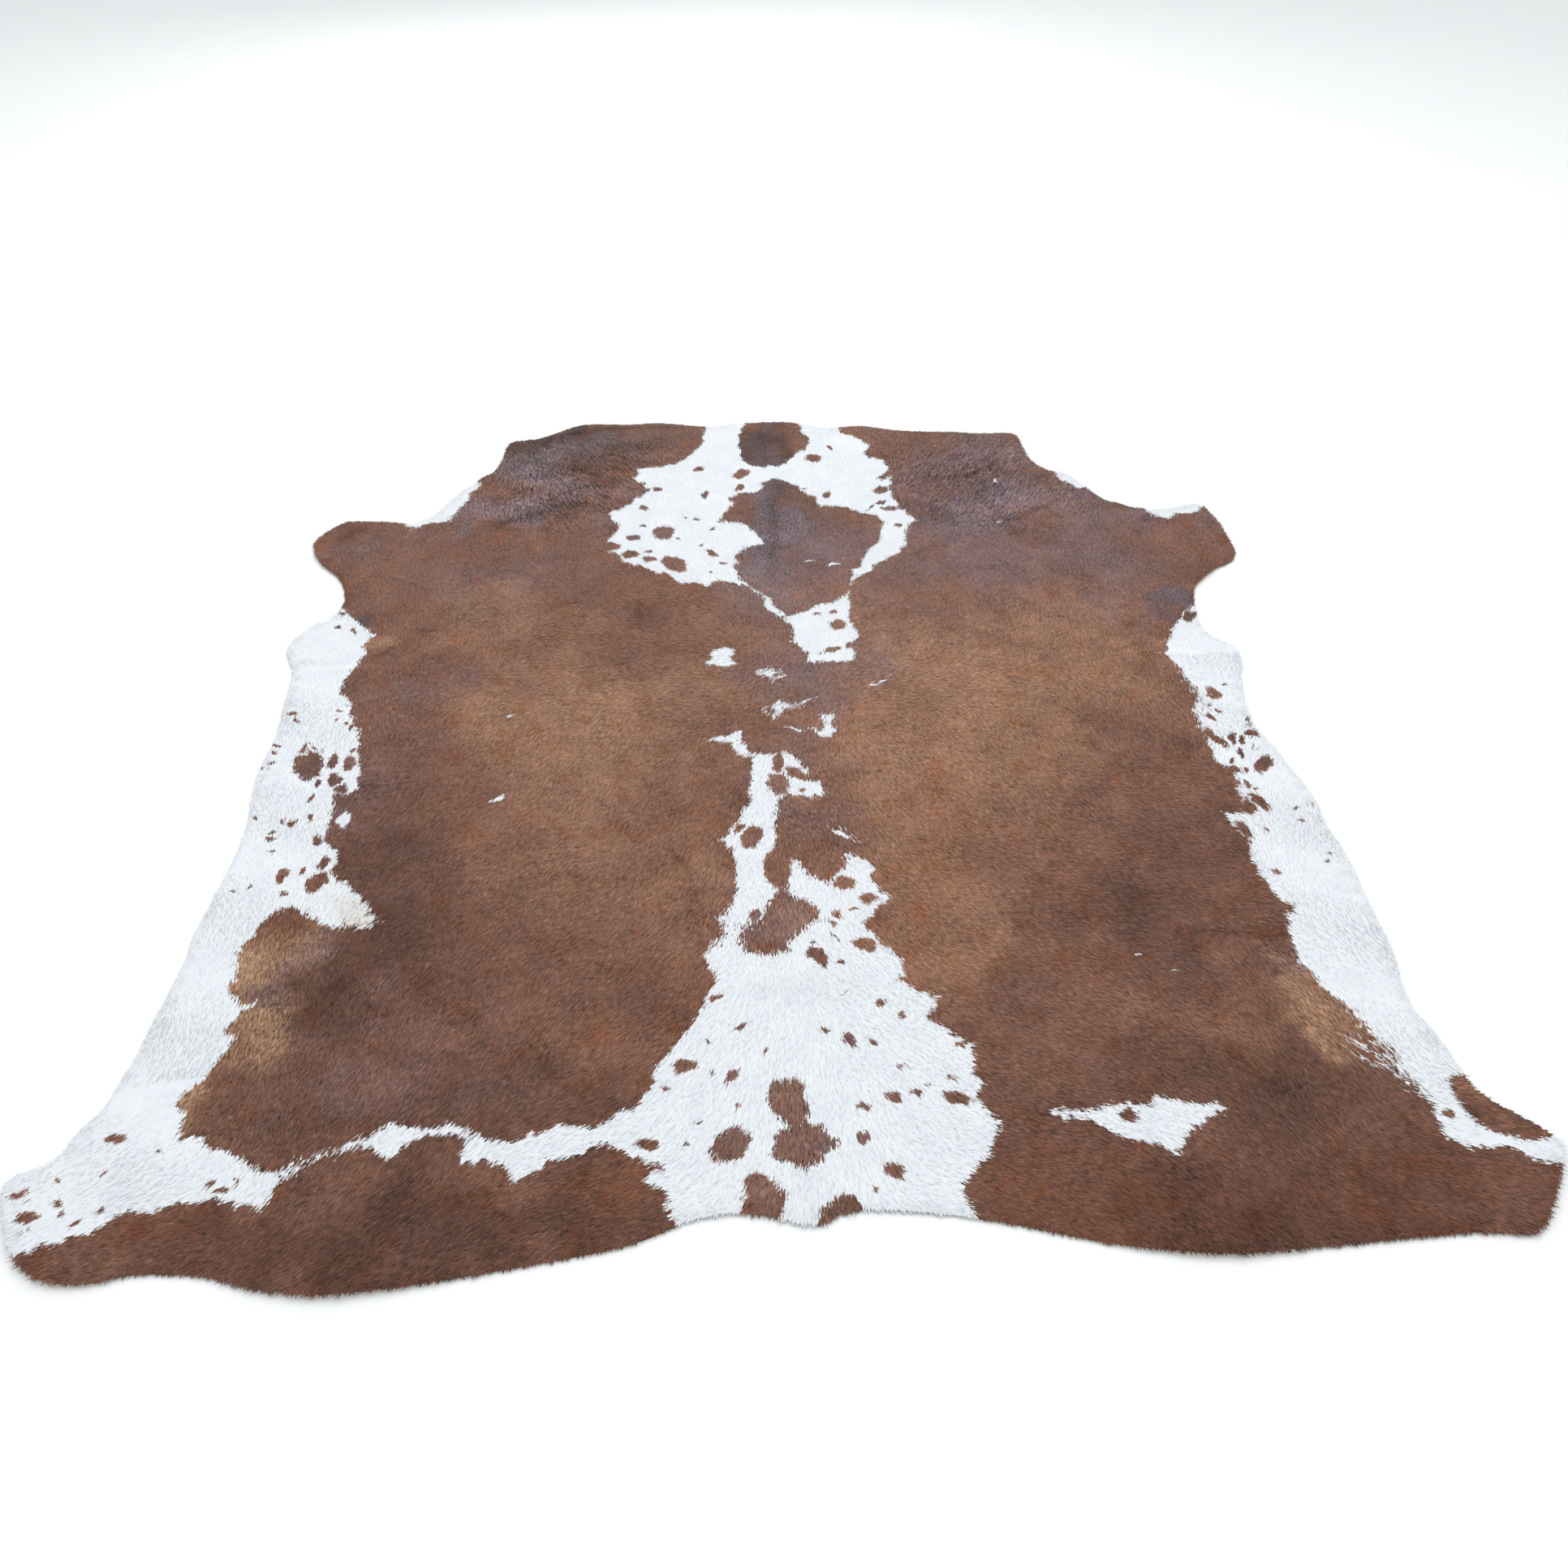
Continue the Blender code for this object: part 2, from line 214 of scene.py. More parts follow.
# Oval spots: the middle, half length, half width, and the turn of the length from
# across to along in degrees.
Spot = namedtuple("Spot", "across along half_length half_width turn")
NECK_SPOTS = (
    (-17.3, 84.2, 1.2, 0.9, 55), (-7.5, 81.5, 2.4, 1.6, 40), (-7.9, 75.3, 1.5, 0.7, 65),
    (-27.0, 75.4, 1.0, 0.7, -40), (-15.8, 72.2, 1.4, 0.8, 70), (14.2, 93.8, 1.1, 0.6, -60),
    (10.0, 88.5, 2.0, 1.8, 0), (12.1, 71.5, 1.2, 0.8, 70), (24.8, 73.2, 1.7, 1.3, 60),
    (24.3, 67.5, 1.2, 0.6, 20), (22.0, 65.6, 1.9, 0.2, 50), (26.0, 64.9, 1.6, 1.0, -10),
    (27.3, 57.8, 0.7, 0.5, 0), (7.2, 74.4, 0.5, 0.3, 0), (-29.7, 67.1, 1.4, 0.9, -60),
    (-29.3, 59.1, 0.7, 0.4, -30), (-20.1, 62.6, 0.3, 0.2, 0), (-17.6, 61.3, 0.6, 0.4, -50),
    (-14.0, 57.6, 0.8, 0.5, 30), (-24.7, 56.3, 2.8, 2.2, 100), (-31.2, 54.6, 1.4, 1.2, 0),
    (-21.5, 54.0, 0.5, 0.25, 0), (-16.7, 51.3, 0.4, 0.3, 0), (-27.7, 48.9, 0.7, 0.5, 0),
    (-14.2, 47.8, 1.6, 0.7, -55), (-36.3, 51.3, 2.2, 1.5, -20), (-31.6, 48.0, 1.9, 1.6, 0),
    (-27.3, 45.9, 1.6, 1.0, 0), (-22.0, 43.9, 3.3, 2.2, -50), (-11.4, 43.8, 0.7, 0.4, 20),
    (-14.0, 40.3, 0.4, 0.3, 0), (-23.0, 38.5, 2.6, 0.9, -55), (11.4, 20.9, 1.9, 1.7, 0),
    (10.9, 25.1, 0.9, 0.6, 0), (7.4, 24.9, 0.5, 0.4, 0), (10.0, 12.8, 1.6, 0.7, 15),
    (7.9, 11.6, 0.9, 0.3, 25), (13.1, 13.8, 0.7, 0.7, 0), (-1.3, 5.0, 0.8, 0.4, 30),
    (-2.8, -5.8, 1.0, 0.7, 90),
)
STRIPE_SPOTS = (
    (-1.5, -19.8, 2.5, 1.0, 90), (1.1, -22.6, 1.9, 1.2, -45), (-1.8, -25.3, 2.9, 1.9, 90),
    (2.2, -27.3, 0.5, 0.5, 0), (-6.6, -37.9, 2.7, 1.9, 60), (-8.6, -36.0, 1.1, 0.7, 60),
    (-2.4, -45.0, 4.8, 2.2, 88), (-6.4, -55.1, 1.3, 0.7, 65), (3.0, -63.4, 2.3, 1.2, -60),
    (2.2, -60.7, 0.4, 0.3, 0), (6.6, -55.4, 0.9, 0.5, -50), (5.6, -56.8, 0.7, 0.4, -50),
    (9.0, -54.4, 0.4, 0.2, 0), (6.0, -60.1, 0.5, 0.25, -50), (6.2, -64.9, 0.6, 0.5, 0),
    (10.4, -61.6, 1.6, 1.2, -30), (11.8, -52.2, 1.6, 1.1, -10), (8.0, -48.9, 1.7, 1.2, 0),
)
RUMP_SPOTS = (
    (-10.2, -94.9, 2.6, 2.1, 45), (-12.2, -70.7, 0.5, 0.3, 30), (-8.9, -76.1, 0.5, 0.25, 30),
    (11.8, -72.6, 0.9, 0.6, -20), (14.7, -75.0, 0.5, 0.5, 0), (3.1, -77.4, 0.6, 0.4, 0),
    (6.8, -79.0, 1.2, 0.8, -55), (10.0, -79.1, 0.6, 0.45, -50), (22.5, -80.0, 0.5, 0.4, 0),
    (-16.8, -82.3, 1.4, 1.1, 0), (-9.9, -84.3, 1.4, 0.8, 50), (-13.2, -78.4, 0.3, 0.25, 0),
    (-12.8, -83.6, 0.3, 0.25, 0), (-5.2, -80.4, 0.4, 0.2, 50), (7.7, -89.5, 0.9, 0.6, 0),
    (7.5, -94.4, 0.9, 0.5, 90), (12.2, -88.4, 1.1, 0.8, -30), (15.1, -87.9, 0.8, 0.35, 0),
    (20.8, -88.7, 1.7, 1.2, -10), (11.1, -99.2, 1.3, 0.9, -40), (8.6, -101.7, 0.3, 0.25, 0),
    (-21.2, -94.6, 1.2, 0.8, 0), (20.2, -85.4, 0.4, 0.2, 0), (17.2, -86.3, 0.3, 0.25, 0),
    (13.5, -83.2, 0.3, 0.25, 0), (-15.8, -94.4, 0.3, 0.25, 0), (-14.5, -91.5, 0.3, 0.2, 0),
    (-9.0, -88.7, 0.25, 0.2, 0), (-19.2, -85.7, 0.25, 0.2, 0), (43.7, -92.2, 1.2, 0.8, 0),
)
RIGHT_BELLY_SPOTS = (
    (83.5, -0.6, 0.5, 0.3, 0), (80.6, -3.1, 1.7, 1.2, 90), (78.9, -6.8, 0.8, 0.4, 70),
    (78.3, -10.0, 1.2, 0.5, -60), (80.4, -8.3, 0.4, 0.25, 0), (84.8, -11.4, 1.3, 0.4, 80),
    (84.2, -15.1, 1.4, 1.1, 0), (77.6, -16.0, 2.8, 1.0, -65), (80.7, -16.2, 1.4, 0.9, 80),
    (82.2, -16.3, 1.3, 0.5, 70), (83.6, -18.6, 0.6, 0.5, 0), (80.8, -20.0, 1.1, 0.5, 80),
    (83.9, -23.1, 2.6, 1.3, 50), (78.8, -22.0, 0.9, 0.4, 75), (80.2, -24.6, 0.9, 0.6, 90),
    (78.2, -24.4, 1.5, 1.0, 0), (79.3, -28.1, 1.1, 0.6, 85), (80.2, -29.1, 0.5, 0.3, 0),
    (80.4, -32.5, 2.3, 1.1, -65), (78.1, -33.5, 1.6, 0.9, 70), (75.9, -38.9, 1.8, 0.8, -70),
    (79.3, -39.2, 0.5, 0.25, 0), (88.7, -33.3, 0.5, 0.25, 0), (86.1, -34.4, 0.3, 0.2, 0),
    (86.2, -37.0, 0.3, 0.2, 0), (88.0, -44.8, 0.3, 0.2, 0), (87.0, -46.8, 0.3, 0.2, 0),
    (77.8, -48.6, 0.6, 0.6, 0), (82.9, 21.4, 1.9, 1.0, 50), (87.0, -93.4, 0.5, 0.4, 0),
)
LEFT_BELLY_SPOTS = (
    (-88.7, 27.8, 0.7, 0.4, 90), (-88.7, 23.4, 0.5, 0.4, 0), (-85.1, 21.9, 0.6, 0.3, -50),
    (-90.9, -3.7, 0.8, 0.7, 0), (-89.8, -5.4, 0.8, 0.3, -50), (-82.3, -2.8, 0.4, 0.3, 0),
    (-82.5, -5.6, 0.3, 0.25, 0), (-80.6, -6.9, 0.5, 0.35, -60), (-79.2, -7.7, 0.9, 0.5, 80),
    (-91.5, -12.6, 0.6, 0.3, 0), (-91.3, -14.1, 0.5, 0.4, 0), (-91.3, -17.3, 0.5, 0.4, 0),
    (-91.6, -18.5, 0.5, 0.3, 0), (-86.4, -13.7, 1.4, 0.8, 75), (-84.6, -13.1, 0.9, 0.4, -80),
    (-83.3, -14.3, 1.0, 0.5, 100), (-84.4, -17.9, 4.1, 2.7, 112),
    (-80.5, -17.0, 1.8, 0.9, 90), (-77.6, -17.5, 1.7, 0.9, 95), (-77.5, -14.3, 0.9, 0.5, 80),
    (-78.9, -21.8, 1.7, 1.0, 115), (-77.5, -23.8, 1.2, 0.9, 115),
    (-81.6, -22.5, 1.1, 0.5, 95), (-82.2, -26.5, 0.6, 0.3, 70),
    (-81.3, -30.9, 0.8, 0.35, -60), (-84.8, -31.9, 0.8, 0.6, 0), (-83.8, -32.4, 0.8, 0.4, 75),
    (-90.5, -31.2, 0.5, 0.3, 0), (-86.5, -34.5, 0.6, 0.4, 0), (-86.5, -35.7, 0.7, 0.6, 0),
    (-85.4, -39.0, 0.5, 0.3, -20), (-78.7, -36.4, 1.3, 0.7, -70),
    (-76.3, -41.6, 1.4, 0.6, 85), (-79.5, -43.1, 0.7, 0.4, 75), (-82.2, -44.4, 1.5, 0.8, 80),
    (-76.3, -45.6, 2.2, 1.3, 75), (-86.6, -46.2, 0.4, 0.3, 0), (-81.3, -48.0, 0.4, 0.4, 0),
    (-89.4, -47.3, 0.3, 0.2, 0),
)
LEFT_LEG_SPOTS = (
    (-92.0, -91.4, 1.1, 0.7, 15), (-101.7, -98.9, 0.7, 0.45, 0), (-99.4, -102.2, 1.0, 0.8, 0),
    (-96.1, -100.7, 0.45, 0.4, 0), (-95.1, -102.0, 0.4, 0.4, 0),
    (-92.9, -103.2, 0.7, 0.3, 50), (-99.5, -104.4, 0.4, 0.2, 0), (-98.6, -104.1, 0.4, 0.2, 0),
    (-91.7, -96.3, 0.35, 0.2, 60), (-97.6, -97.4, 0.3, 0.2, 0), (-100.2, -100.2, 0.3, 0.2, 0),
    (-90.2, -101.7, 0.3, 0.2, 0), (-85.8, -93.2, 0.3, 0.2, 0), (-77.6, -98.2, 0.35, 0.3, 0),
    (-74.4, -98.2, 0.45, 0.35, 0), (-75.9, -99.3, 0.5, 0.25, 0),
)
WHITE_FLECKS = (
    (12.1, 42.8, 0.9, 0.3, 0), (7.0, 44.3, 0.6, 0.15, 0), (16.7, 1.2, 1.0, 0.25, 30),
    (2.0, -10.8, 1.4, 0.25, -15), (4.2, -2.8, 1.5, 0.12, 22), (-50.0, -27.4, 1.4, 0.35, 30),
    (52.2, 76.5, 0.5, 0.3, 90), (50.0, 58.5, 0.3, 0.2, 0), (-50.5, -5.5, 0.35, 0.25, 0),
    (51.8, -64.7, 0.25, 0.12, 0), (56.0, -67.8, 0.25, 0.12, 0), (-75.1, -31.7, 1.9, 0.9, 100),
    (8.3, -37.7, 1.1, 0.35, -30), (18.3, 2.6, 0.9, 0.2, 25), (79.2, -82.0, 1.3, 0.12, -40),
    (80.3, -83.6, 1.6, 0.15, -42), (81.3, -82.3, 1.5, 0.2, -40),
    (81.0, -85.2, 1.3, 0.12, -45), (82.3, -84.3, 1.4, 0.2, -45), (79.0, -84.4, 0.9, 0.1, -40),
    (82.2, -86.6, 1.1, 0.12, -48),
)
BROWN_SPOTS = tuple(
    Spot(*row)
    for row in NECK_SPOTS + STRIPE_SPOTS + RUMP_SPOTS + RIGHT_BELLY_SPOTS
    + LEFT_BELLY_SPOTS + LEFT_LEG_SPOTS
)
WHITE_SPOTS = tuple(Spot(*row) for row in WHITE_FLECKS)


def signed_depth(outline, across, along):
    """How far each point lies inside a closed outline, in centimetres."""
    corners = np.array(outline)
    nearest = np.full(across.shape, np.inf)
    inside = np.zeros(across.shape, bool)
    for (x0, y0), (x1, y1) in zip(corners, np.roll(corners, -1, axis=0)):
        run_x, run_y = x1 - x0, y1 - y0
        share = ((across - x0) * run_x + (along - y0) * run_y) / (run_x**2 + run_y**2)
        share = np.clip(share, 0.0, 1.0)
        away = np.hypot(across - x0 - share * run_x, along - y0 - share * run_y)
        nearest = np.minimum(nearest, away)
        if y0 != y1:
            crosses = (y0 > along) != (y1 > along)
            inside ^= crosses & (across < x0 + (along - y0) * run_x / run_y)
    return np.where(inside, nearest, -nearest)


# Waves that make the charted edges wander: each one's length, turn, reach and start.
Wave = namedtuple("Wave", "length turn reach start")
EDGE_WAVES = (
    Wave(6.3, 40, 0.20, 0.7), Wave(3.9, 115, 0.18, 2.9), Wave(2.6, 80, 0.15, 4.1),
    Wave(1.9, 15, 0.12, 1.8),
)
PATCH_REACH = 3.0
SPOT_SPREAD = 0.12

# Each wave is bent by slower ones, so that no edge repeats itself.
BEND_ACROSS = 1.7
BEND_ALONG = 1.4
SLOWER_ACROSS = 2.3
SLOWER_ALONG = 1.9
QUICKER_ALONG = 1.3


def wander(waves, across, along):
    """The points moved a little to and fro, by more than one wave."""
    moved_across, moved_along = across.copy(), along.copy()
    for wave in waves:
        turn = math.radians(wave.turn)
        pace = 2 * math.pi / wave.length
        phase = pace * (along * math.cos(turn) + across * math.sin(turn)) + wave.start
        bend_across = BEND_ACROSS * np.sin(pace * along / SLOWER_ACROSS)
        bend_along = BEND_ALONG * np.sin(pace * across / SLOWER_ALONG)
        moved_across += wave.reach * np.sin(phase + bend_across)
        moved_along += wave.reach * np.cos(QUICKER_ALONG * phase + bend_along)
    return moved_across, moved_along


def patch_depth(across, along):
    """Depth inside the white patches, in centimetres, within the reach that matters."""
    across, along = wander(EDGE_WAVES, across, along)
    depth = np.full(across.shape, -PATCH_REACH)
    for sign, outlines in ((1.0, WHITE_PATCHES), (-1.0, BROWN_ISLANDS)):
        for outline in outlines:
            corners = np.array(outline)
            low, high = corners.min(0) - PATCH_REACH, corners.max(0) + PATCH_REACH
            near = (across > low[0]) & (across < high[0])
            near &= (along > low[1]) & (along < high[1])
            found = signed_depth(outline, across[near], along[near])
            if sign > 0:
                depth[near] = np.maximum(depth[near], found)
            else:
                depth[near] = np.minimum(depth[near], -found)
    return np.clip(depth, -PATCH_REACH, PATCH_REACH)


def oval_place(oval, across, along):
    """Place in an oval's own lengths and widths: its edge is 1 from its middle."""
    turn = math.radians(oval.turn)
    right, forward = across - oval.across, along - oval.along
    lengthwise = (right * math.cos(turn) + forward * math.sin(turn)) / oval.half_length
    crosswise = (forward * math.cos(turn) - right * math.sin(turn)) / oval.half_width
    return lengthwise, crosswise


def nearest_spot(across, along):
    """The nearest spot to each point: the point's place in that spot's oval with the
    spot's size, and a mark of which spot it is, a unit arrow with 1 for white hair."""
    across, along = wander(EDGE_WAVES, across, along)
    count = len(across)
    gap = np.full(count, np.inf)
    place, mark = np.zeros((count, 3)), np.zeros((count, 3))
    golden_turn = math.pi * (3.0 - math.sqrt(5.0))
    for index, spot in enumerate(BROWN_SPOTS + WHITE_SPOTS):
        lengthwise, crosswise = oval_place(spot, across, along)
        size = math.sqrt(spot.half_length * spot.half_width)
        away = (np.hypot(lengthwise, crosswise) - 1.0) * size
        near = away < gap
        gap[near] = away[near]
        place[near] = np.stack([lengthwise, crosswise, np.full(count, size)], 1)[near]
        arrow = math.cos(index * golden_turn), math.sin(index * golden_turn)
        mark[near] = (*arrow, float(index >= len(BROWN_SPOTS)))
    return place, mark


def spot_depth(place):
    """Depth inside a spot, in centimetres, for a place in that spot's oval. A spot's
    hair reaches a little over its edge."""
    return (1.0 - np.hypot(place[:, 0], place[:, 1])) * place[:, 2] + SPOT_SPREAD


# Tints of the hair, as soft ovals: ginger on the back, rust at the folds, dusk on the flanks
# and the rump's corners, and tan by the thighs. The grey ovals, most of them on the neck, are
# no tint of the hair but a painted grey sheen.
Tint = namedtuple("Tint", "across along half_length half_width turn amount")
GINGER = (
    Tint(45, 3, 32, 15, -4, 0.9), Tint(30, -18, 26, 12, 10, 0.55),
    Tint(23, -42, 26, 11, 85, 1.0), Tint(-42, -4, 30, 13, 8, 0.85),
    Tint(-38, -38, 26, 15, 85, 0.5), Tint(-16, -45, 18, 6, 88, 0.6),
    Tint(-28, -20, 20, 10, 0, 0.35), Tint(-52, 15, 14, 10, 0, 0.4),
    Tint(25, 12, 13, 9, 0, 0.5), Tint(-80, 17, 4, 3.5, 0, 1.0), Tint(70, 13, 5, 3.5, 0, 0.7),
    Tint(-60, 33, 12, 7, 0, 0.35), Tint(60, 46, 11, 5, 10, 0.35),
    Tint(22, -64, 12, 8, 85, 0.45), Tint(-30, 88, 8, 5, 0, 0.25),
    Tint(92, -88.5, 3, 2, -30, 0.8), Tint(-55, 22, 16, 8, 0, 0.2),
    Tint(60, 25, 16, 9, 10, 0.3), Tint(8, 26, 20, 14, 0, 0.35), Tint(6, -8, 14, 18, 0, 0.3),
    Tint(50, -34, 20, 14, 80, 0.25), Tint(54, -76, 14, 6, 0, 0.35),
    Tint(44, 30, 22, 9, 0, 0.25), Tint(3, -44, 14, 8, 90, 0.3),
    Tint(-14, 10, 10, 22, 0, 0.35), Tint(14, -12, 10, 8, 0, 0.25),
    Tint(15, -53, 7, 8, 0, 0.4), Tint(38, 11, 24, 14, 0, 0.25), Tint(48, -28, 18, 14, 0, 0.2),
    Tint(-56, -24, 12, 10, 0, 0.2), Tint(-83, 18, 4, 4, 0, 0.6), Tint(8, -2, 13, 13, 0, 0.2),
    Tint(42, -52, 8, 7, 0, 0.25), Tint(56, -80, 8, 6, 0, 0.2),
)
RUST = (
    Tint(-67, 55, 9, 4, 8, 1.0), Tint(-96, 58, 4, 3, 0, 0.7), Tint(-73, 38, 4, 3.5, 0, 0.6),
    Tint(-49, 38, 3, 1.5, 70, 0.6), Tint(-67, 21, 10, 3.5, 8, 0.5),
    Tint(-76.5, 14, 4, 1.2, 70, 0.9), Tint(93, 52, 8, 7, 0, 0.5),
    Tint(80.5, 55, 6, 1.5, 88, 0.8), Tint(70, 58, 8, 2.5, 20, 0.5),
    Tint(42, 92, 10, 3.5, 20, 0.4), Tint(-64, 73, 4, 3, 60, 0.7),
    Tint(-38, 77, 5, 3.5, 80, 0.5), Tint(-42, 87, 9, 4, -40, 0.3),
    Tint(-80, -56, 5, 5, 0, 0.8), Tint(-85, -106, 14, 4, 5, 0.6),
    Tint(-26, -101, 8, 6, 0, 0.9), Tint(-18, -70, 14, 5, 65, 0.5),
    Tint(80, -104, 16, 5, 0, 0.6), Tint(29, -100, 8, 7, 0, 0.5),
    Tint(74, -58, 9, 2.5, 88, 0.7), Tint(18, -58, 12, 6, 80, 0.6),
    Tint(25, -36, 12, 7, 80, 0.45), Tint(-57, 62, 5, 2, 20, 0.5),
    Tint(38, 69, 3, 1.5, 60, 0.6), Tint(-50, 103, 12, 4, 15, 0.7),
    Tint(48, 76, 10, 2.5, 10, 0.3), Tint(-13, -30, 12, 5, 85, 0.5),
    Tint(88, 43, 8, 4, 0, 0.4), Tint(46, -107, 24, 8, 0, 0.65),
    Tint(-50, -109, 26, 6, 0, 0.35), Tint(28, -42, 16, 9, 80, 0.3),
)
DUSK = (
    Tint(-64, -36, 26, 12, 84, 0.45), Tint(-66, -62, 22, 11, 80, 0.6),
    Tint(-50, -90, 24, 9, 0, 0.45), Tint(-72, -12, 14, 6, 86, 0.2),
    Tint(-70, 5, 10, 7, 0, 0.2), Tint(-52, -108, 30, 8, 0, 0.95),
    Tint(-88, -107, 14, 5, 0, 0.45), Tint(-24, -103, 10, 6, 0, 0.35),
    Tint(56, -48, 26, 16, 84, 0.38), Tint(30, -84, 16, 12, 0, 0.2),
    Tint(62, -91, 26, 9, 0, 0.5), Tint(60, -104, 18, 8, 0, 0.5),
    Tint(51, -109, 22, 7, 0, 1.0), Tint(84, -106, 18, 7, 0, 0.55),
    Tint(26, -102, 9, 7, 0, 0.45), Tint(64, -10, 14, 8, 80, 0.2), Tint(35, 54, 9, 7, 0, 0.3),
    Tint(69, 52, 14, 8, 10, 0.3), Tint(-60, 45, 9, 5, 0, 0.4), Tint(-29, 24, 5, 2.5, 85, 0.4),
    Tint(24, 19, 4, 3, 0, 0.4), Tint(46, -13, 3, 2.5, 0, 0.4), Tint(-8, -9, 8, 5, 0, 0.2),
    Tint(-82.5, 27, 4, 3.5, 0, 1.3), Tint(80.5, 24, 5, 4, -40, 1.3),
    Tint(0, 92, 14, 7, 90, 2.0), Tint(-54, 99, 16, 8, 15, 1.4), Tint(-42, 89, 14, 6, 20, 0.6),
    Tint(-34, 96, 14, 7, 4, 0.35), Tint(1, 66, 22, 9, 90, 0.5),
    Tint(84.2, -15.1, 3, 3, 0, 0.6), Tint(40, 76, 18, 16, 0, 0.45),
    Tint(-82, -20, 6, 6, 0, 0.8), Tint(-30, -88, 8, 4, 0, 0.2), Tint(-88, 48, 8, 5, 0, 0.1),
    Tint(94, -94, 3, 2, -40, 1.0), Tint(-52, 78, 18, 12, 0, 0.5),
    Tint(-14, -56, 6, 8, 0, -0.1), Tint(-1, 64, 16, 5, 90, 0.5),
    Tint(-54, 104, 14, 5, 15, 0.5), Tint(42, 88, 14, 8, 0, 0.25), Tint(42, 60, 10, 7, 0, 0.3),
    Tint(-49, -54, 14, 8, 0, 0.3), Tint(-42, -66, 12, 9, 0, 0.3),
    Tint(57, -53, 12, 8, 0, 0.3), Tint(69, -82, 8, 6, 0, 0.5),
    Tint(84, -23, 3.5, 3.5, 0, 0.9), Tint(3.5, -104.5, 4, 3, 0, 0.5),
    Tint(22, -66, 10, 7, 0, 0.2), Tint(60, -65, 12, 5, 0, 0.25),
    Tint(-70, -66, 7, 6, 0, 0.25),
)
TAN = (
    Tint(-81, -63, 6, 5, 90, 0.65), Tint(-81, -73, 9, 6, 85, 0.9),
    Tint(-84, -86, 5, 3, 70, 0.8), Tint(75, -69, 5, 3.5, -70, 0.8),
    Tint(76, -76.5, 4.5, 3.5, -60, 0.7), Tint(0, -56, 5, 4, 0, 0.5),
    Tint(81, -80, 4.5, 2.8, -20, 0.35), Tint(0, -92, 8, 9, 0, 0.25),
)
# Painted sheen: where the hair looks paler and greyer from the light that it gives back.
GREY_SHEEN = (
    Tint(0, 60, 24, 5, 90, 1.0), Tint(6, 4, 14, 10, 0, 0.6), Tint(0, 36, 12, 12, 0, 0.4),
    Tint(-58, 88, 9, 7, 0, 0.8), Tint(-52, 76, 11, 8, 30, 1.0), Tint(-61, 64, 10, 4, 12, 0.9),
    Tint(-47, 96, 10, 6, 0, 0.6), Tint(54, 67, 11, 7, 0, 0.9), Tint(52, 92, 11, 7, 0, 0.7),
    Tint(68, 73, 7, 4, -40, 0.7), Tint(70, 46, 14, 8, 0, 0.5), Tint(11, 50, 10, 10, 0, 0.45),
    Tint(-89, 53, 5, 4, 0, 0.5), Tint(-76, -63, 5, 2.5, 90, 0.5),
    Tint(75.5, -68, 5, 3, 90, 0.4), Tint(-1, 95, 12, 4, 90, 0.5), Tint(-70, 4, 8, 6, 0, 0.4),
    Tint(34, 54, 12, 8, 0, 0.6), Tint(-83, 27, 4, 3.5, 0, 0.7), Tint(81, 24, 4, 4, 0, 0.7),
    Tint(3, -20, 12, 7, 90, 0.3), Tint(40, 78, 22, 16, 0, 0.5), Tint(-6, -57, 7, 7, 0, 0.6),
    Tint(44, 42, 26, 9, 0, 0.45), Tint(76, 62, 12, 8, 0, 0.6), Tint(96, 56, 6, 8, 0, 0.5),
    Tint(70, 30, 10, 9, 0, 0.45), Tint(-60, 40, 14, 9, 0, 0.45), Tint(-30, 97, 12, 5, 0, 0.3),
    Tint(-68, 67, 7, 8, 0, 0.7), Tint(62, 82, 6, 8, 0, 0.4), Tint(46, 58, 9, 5, 0, 0.5),
    Tint(0, 52, 16, 24, 0, 0.35), Tint(30, 38, 32, 24, 0, 0.18), Tint(72, 56, 24, 16, 0, 0.2),
    Tint(-80, 54, 12, 10, 0, 0.2), Tint(-30, 70, 10, 10, 0, 0.35),
    Tint(-62, -82, 14, 8, 0, 0.3), Tint(-72, -22, 8, 20, 0, 0.2),
    Tint(1, -88, 15, 16, 0, 0.5), Tint(-3, -28, 7, 10, 0, 0.35),
    Tint(-24, 56, 11, 14, 0, 0.5), Tint(10, 20, 7, 8, 0, 0.4),
    Tint(84, -23, 3.5, 3.5, 0, 0.6), Tint(-84.5, -18, 4, 4, 0, 0.2),
)
CREAM = (
    Tint(-69, -51, 7, 4, -40, 0.8), Tint(-72, 61, 4, 3, 0, 0.4),
    Tint(81, -84, 4, 3, -60, 0.4),
)
RUFFLED = (
    Tint(-48, 80, 28, 20, 0, 1.3), Tint(47, 79, 26, 20, 0, 1.1), Tint(0, 60, 14, 8, 90, 0.25),
)
ROAN = (
    Tint(-67.5, -53, 7, 4, -40, 1.0), Tint(76.5, -3, 7, 2.5, 90, 1.0),
    Tint(82.5, -84, 7, 3.5, -60, 1.6), Tint(-72, 59, 4, 2, -70, 1.1),
    Tint(-62, -94, 6, 2, 25, 0.7), Tint(17, 2, 5, 3, 30, 1.6), Tint(8.3, -37.7, 5, 4, 0, 1.6),
    Tint(-5, -59, 9, 6, 30, 1.1), Tint(10, 43.5, 5, 2, 0, 0.8), Tint(-77, -51, 5, 2, 30, 0.5),
    Tint(78, -16, 4, 8, 0, 0.3), Tint(-2.5, 5.5, 6, 4, 0, 0.7), Tint(0, -4, 8, 4, 0, 0.5),
    Tint(-72, -52, 9, 6, -30, 0.5),
)


def bell(share):
    """0 at 0 and 1 at 1, with a soft rise between."""
    share = np.clip(share, 0.0, 1.0)
    return share * share * (3.0 - 2.0 * share)


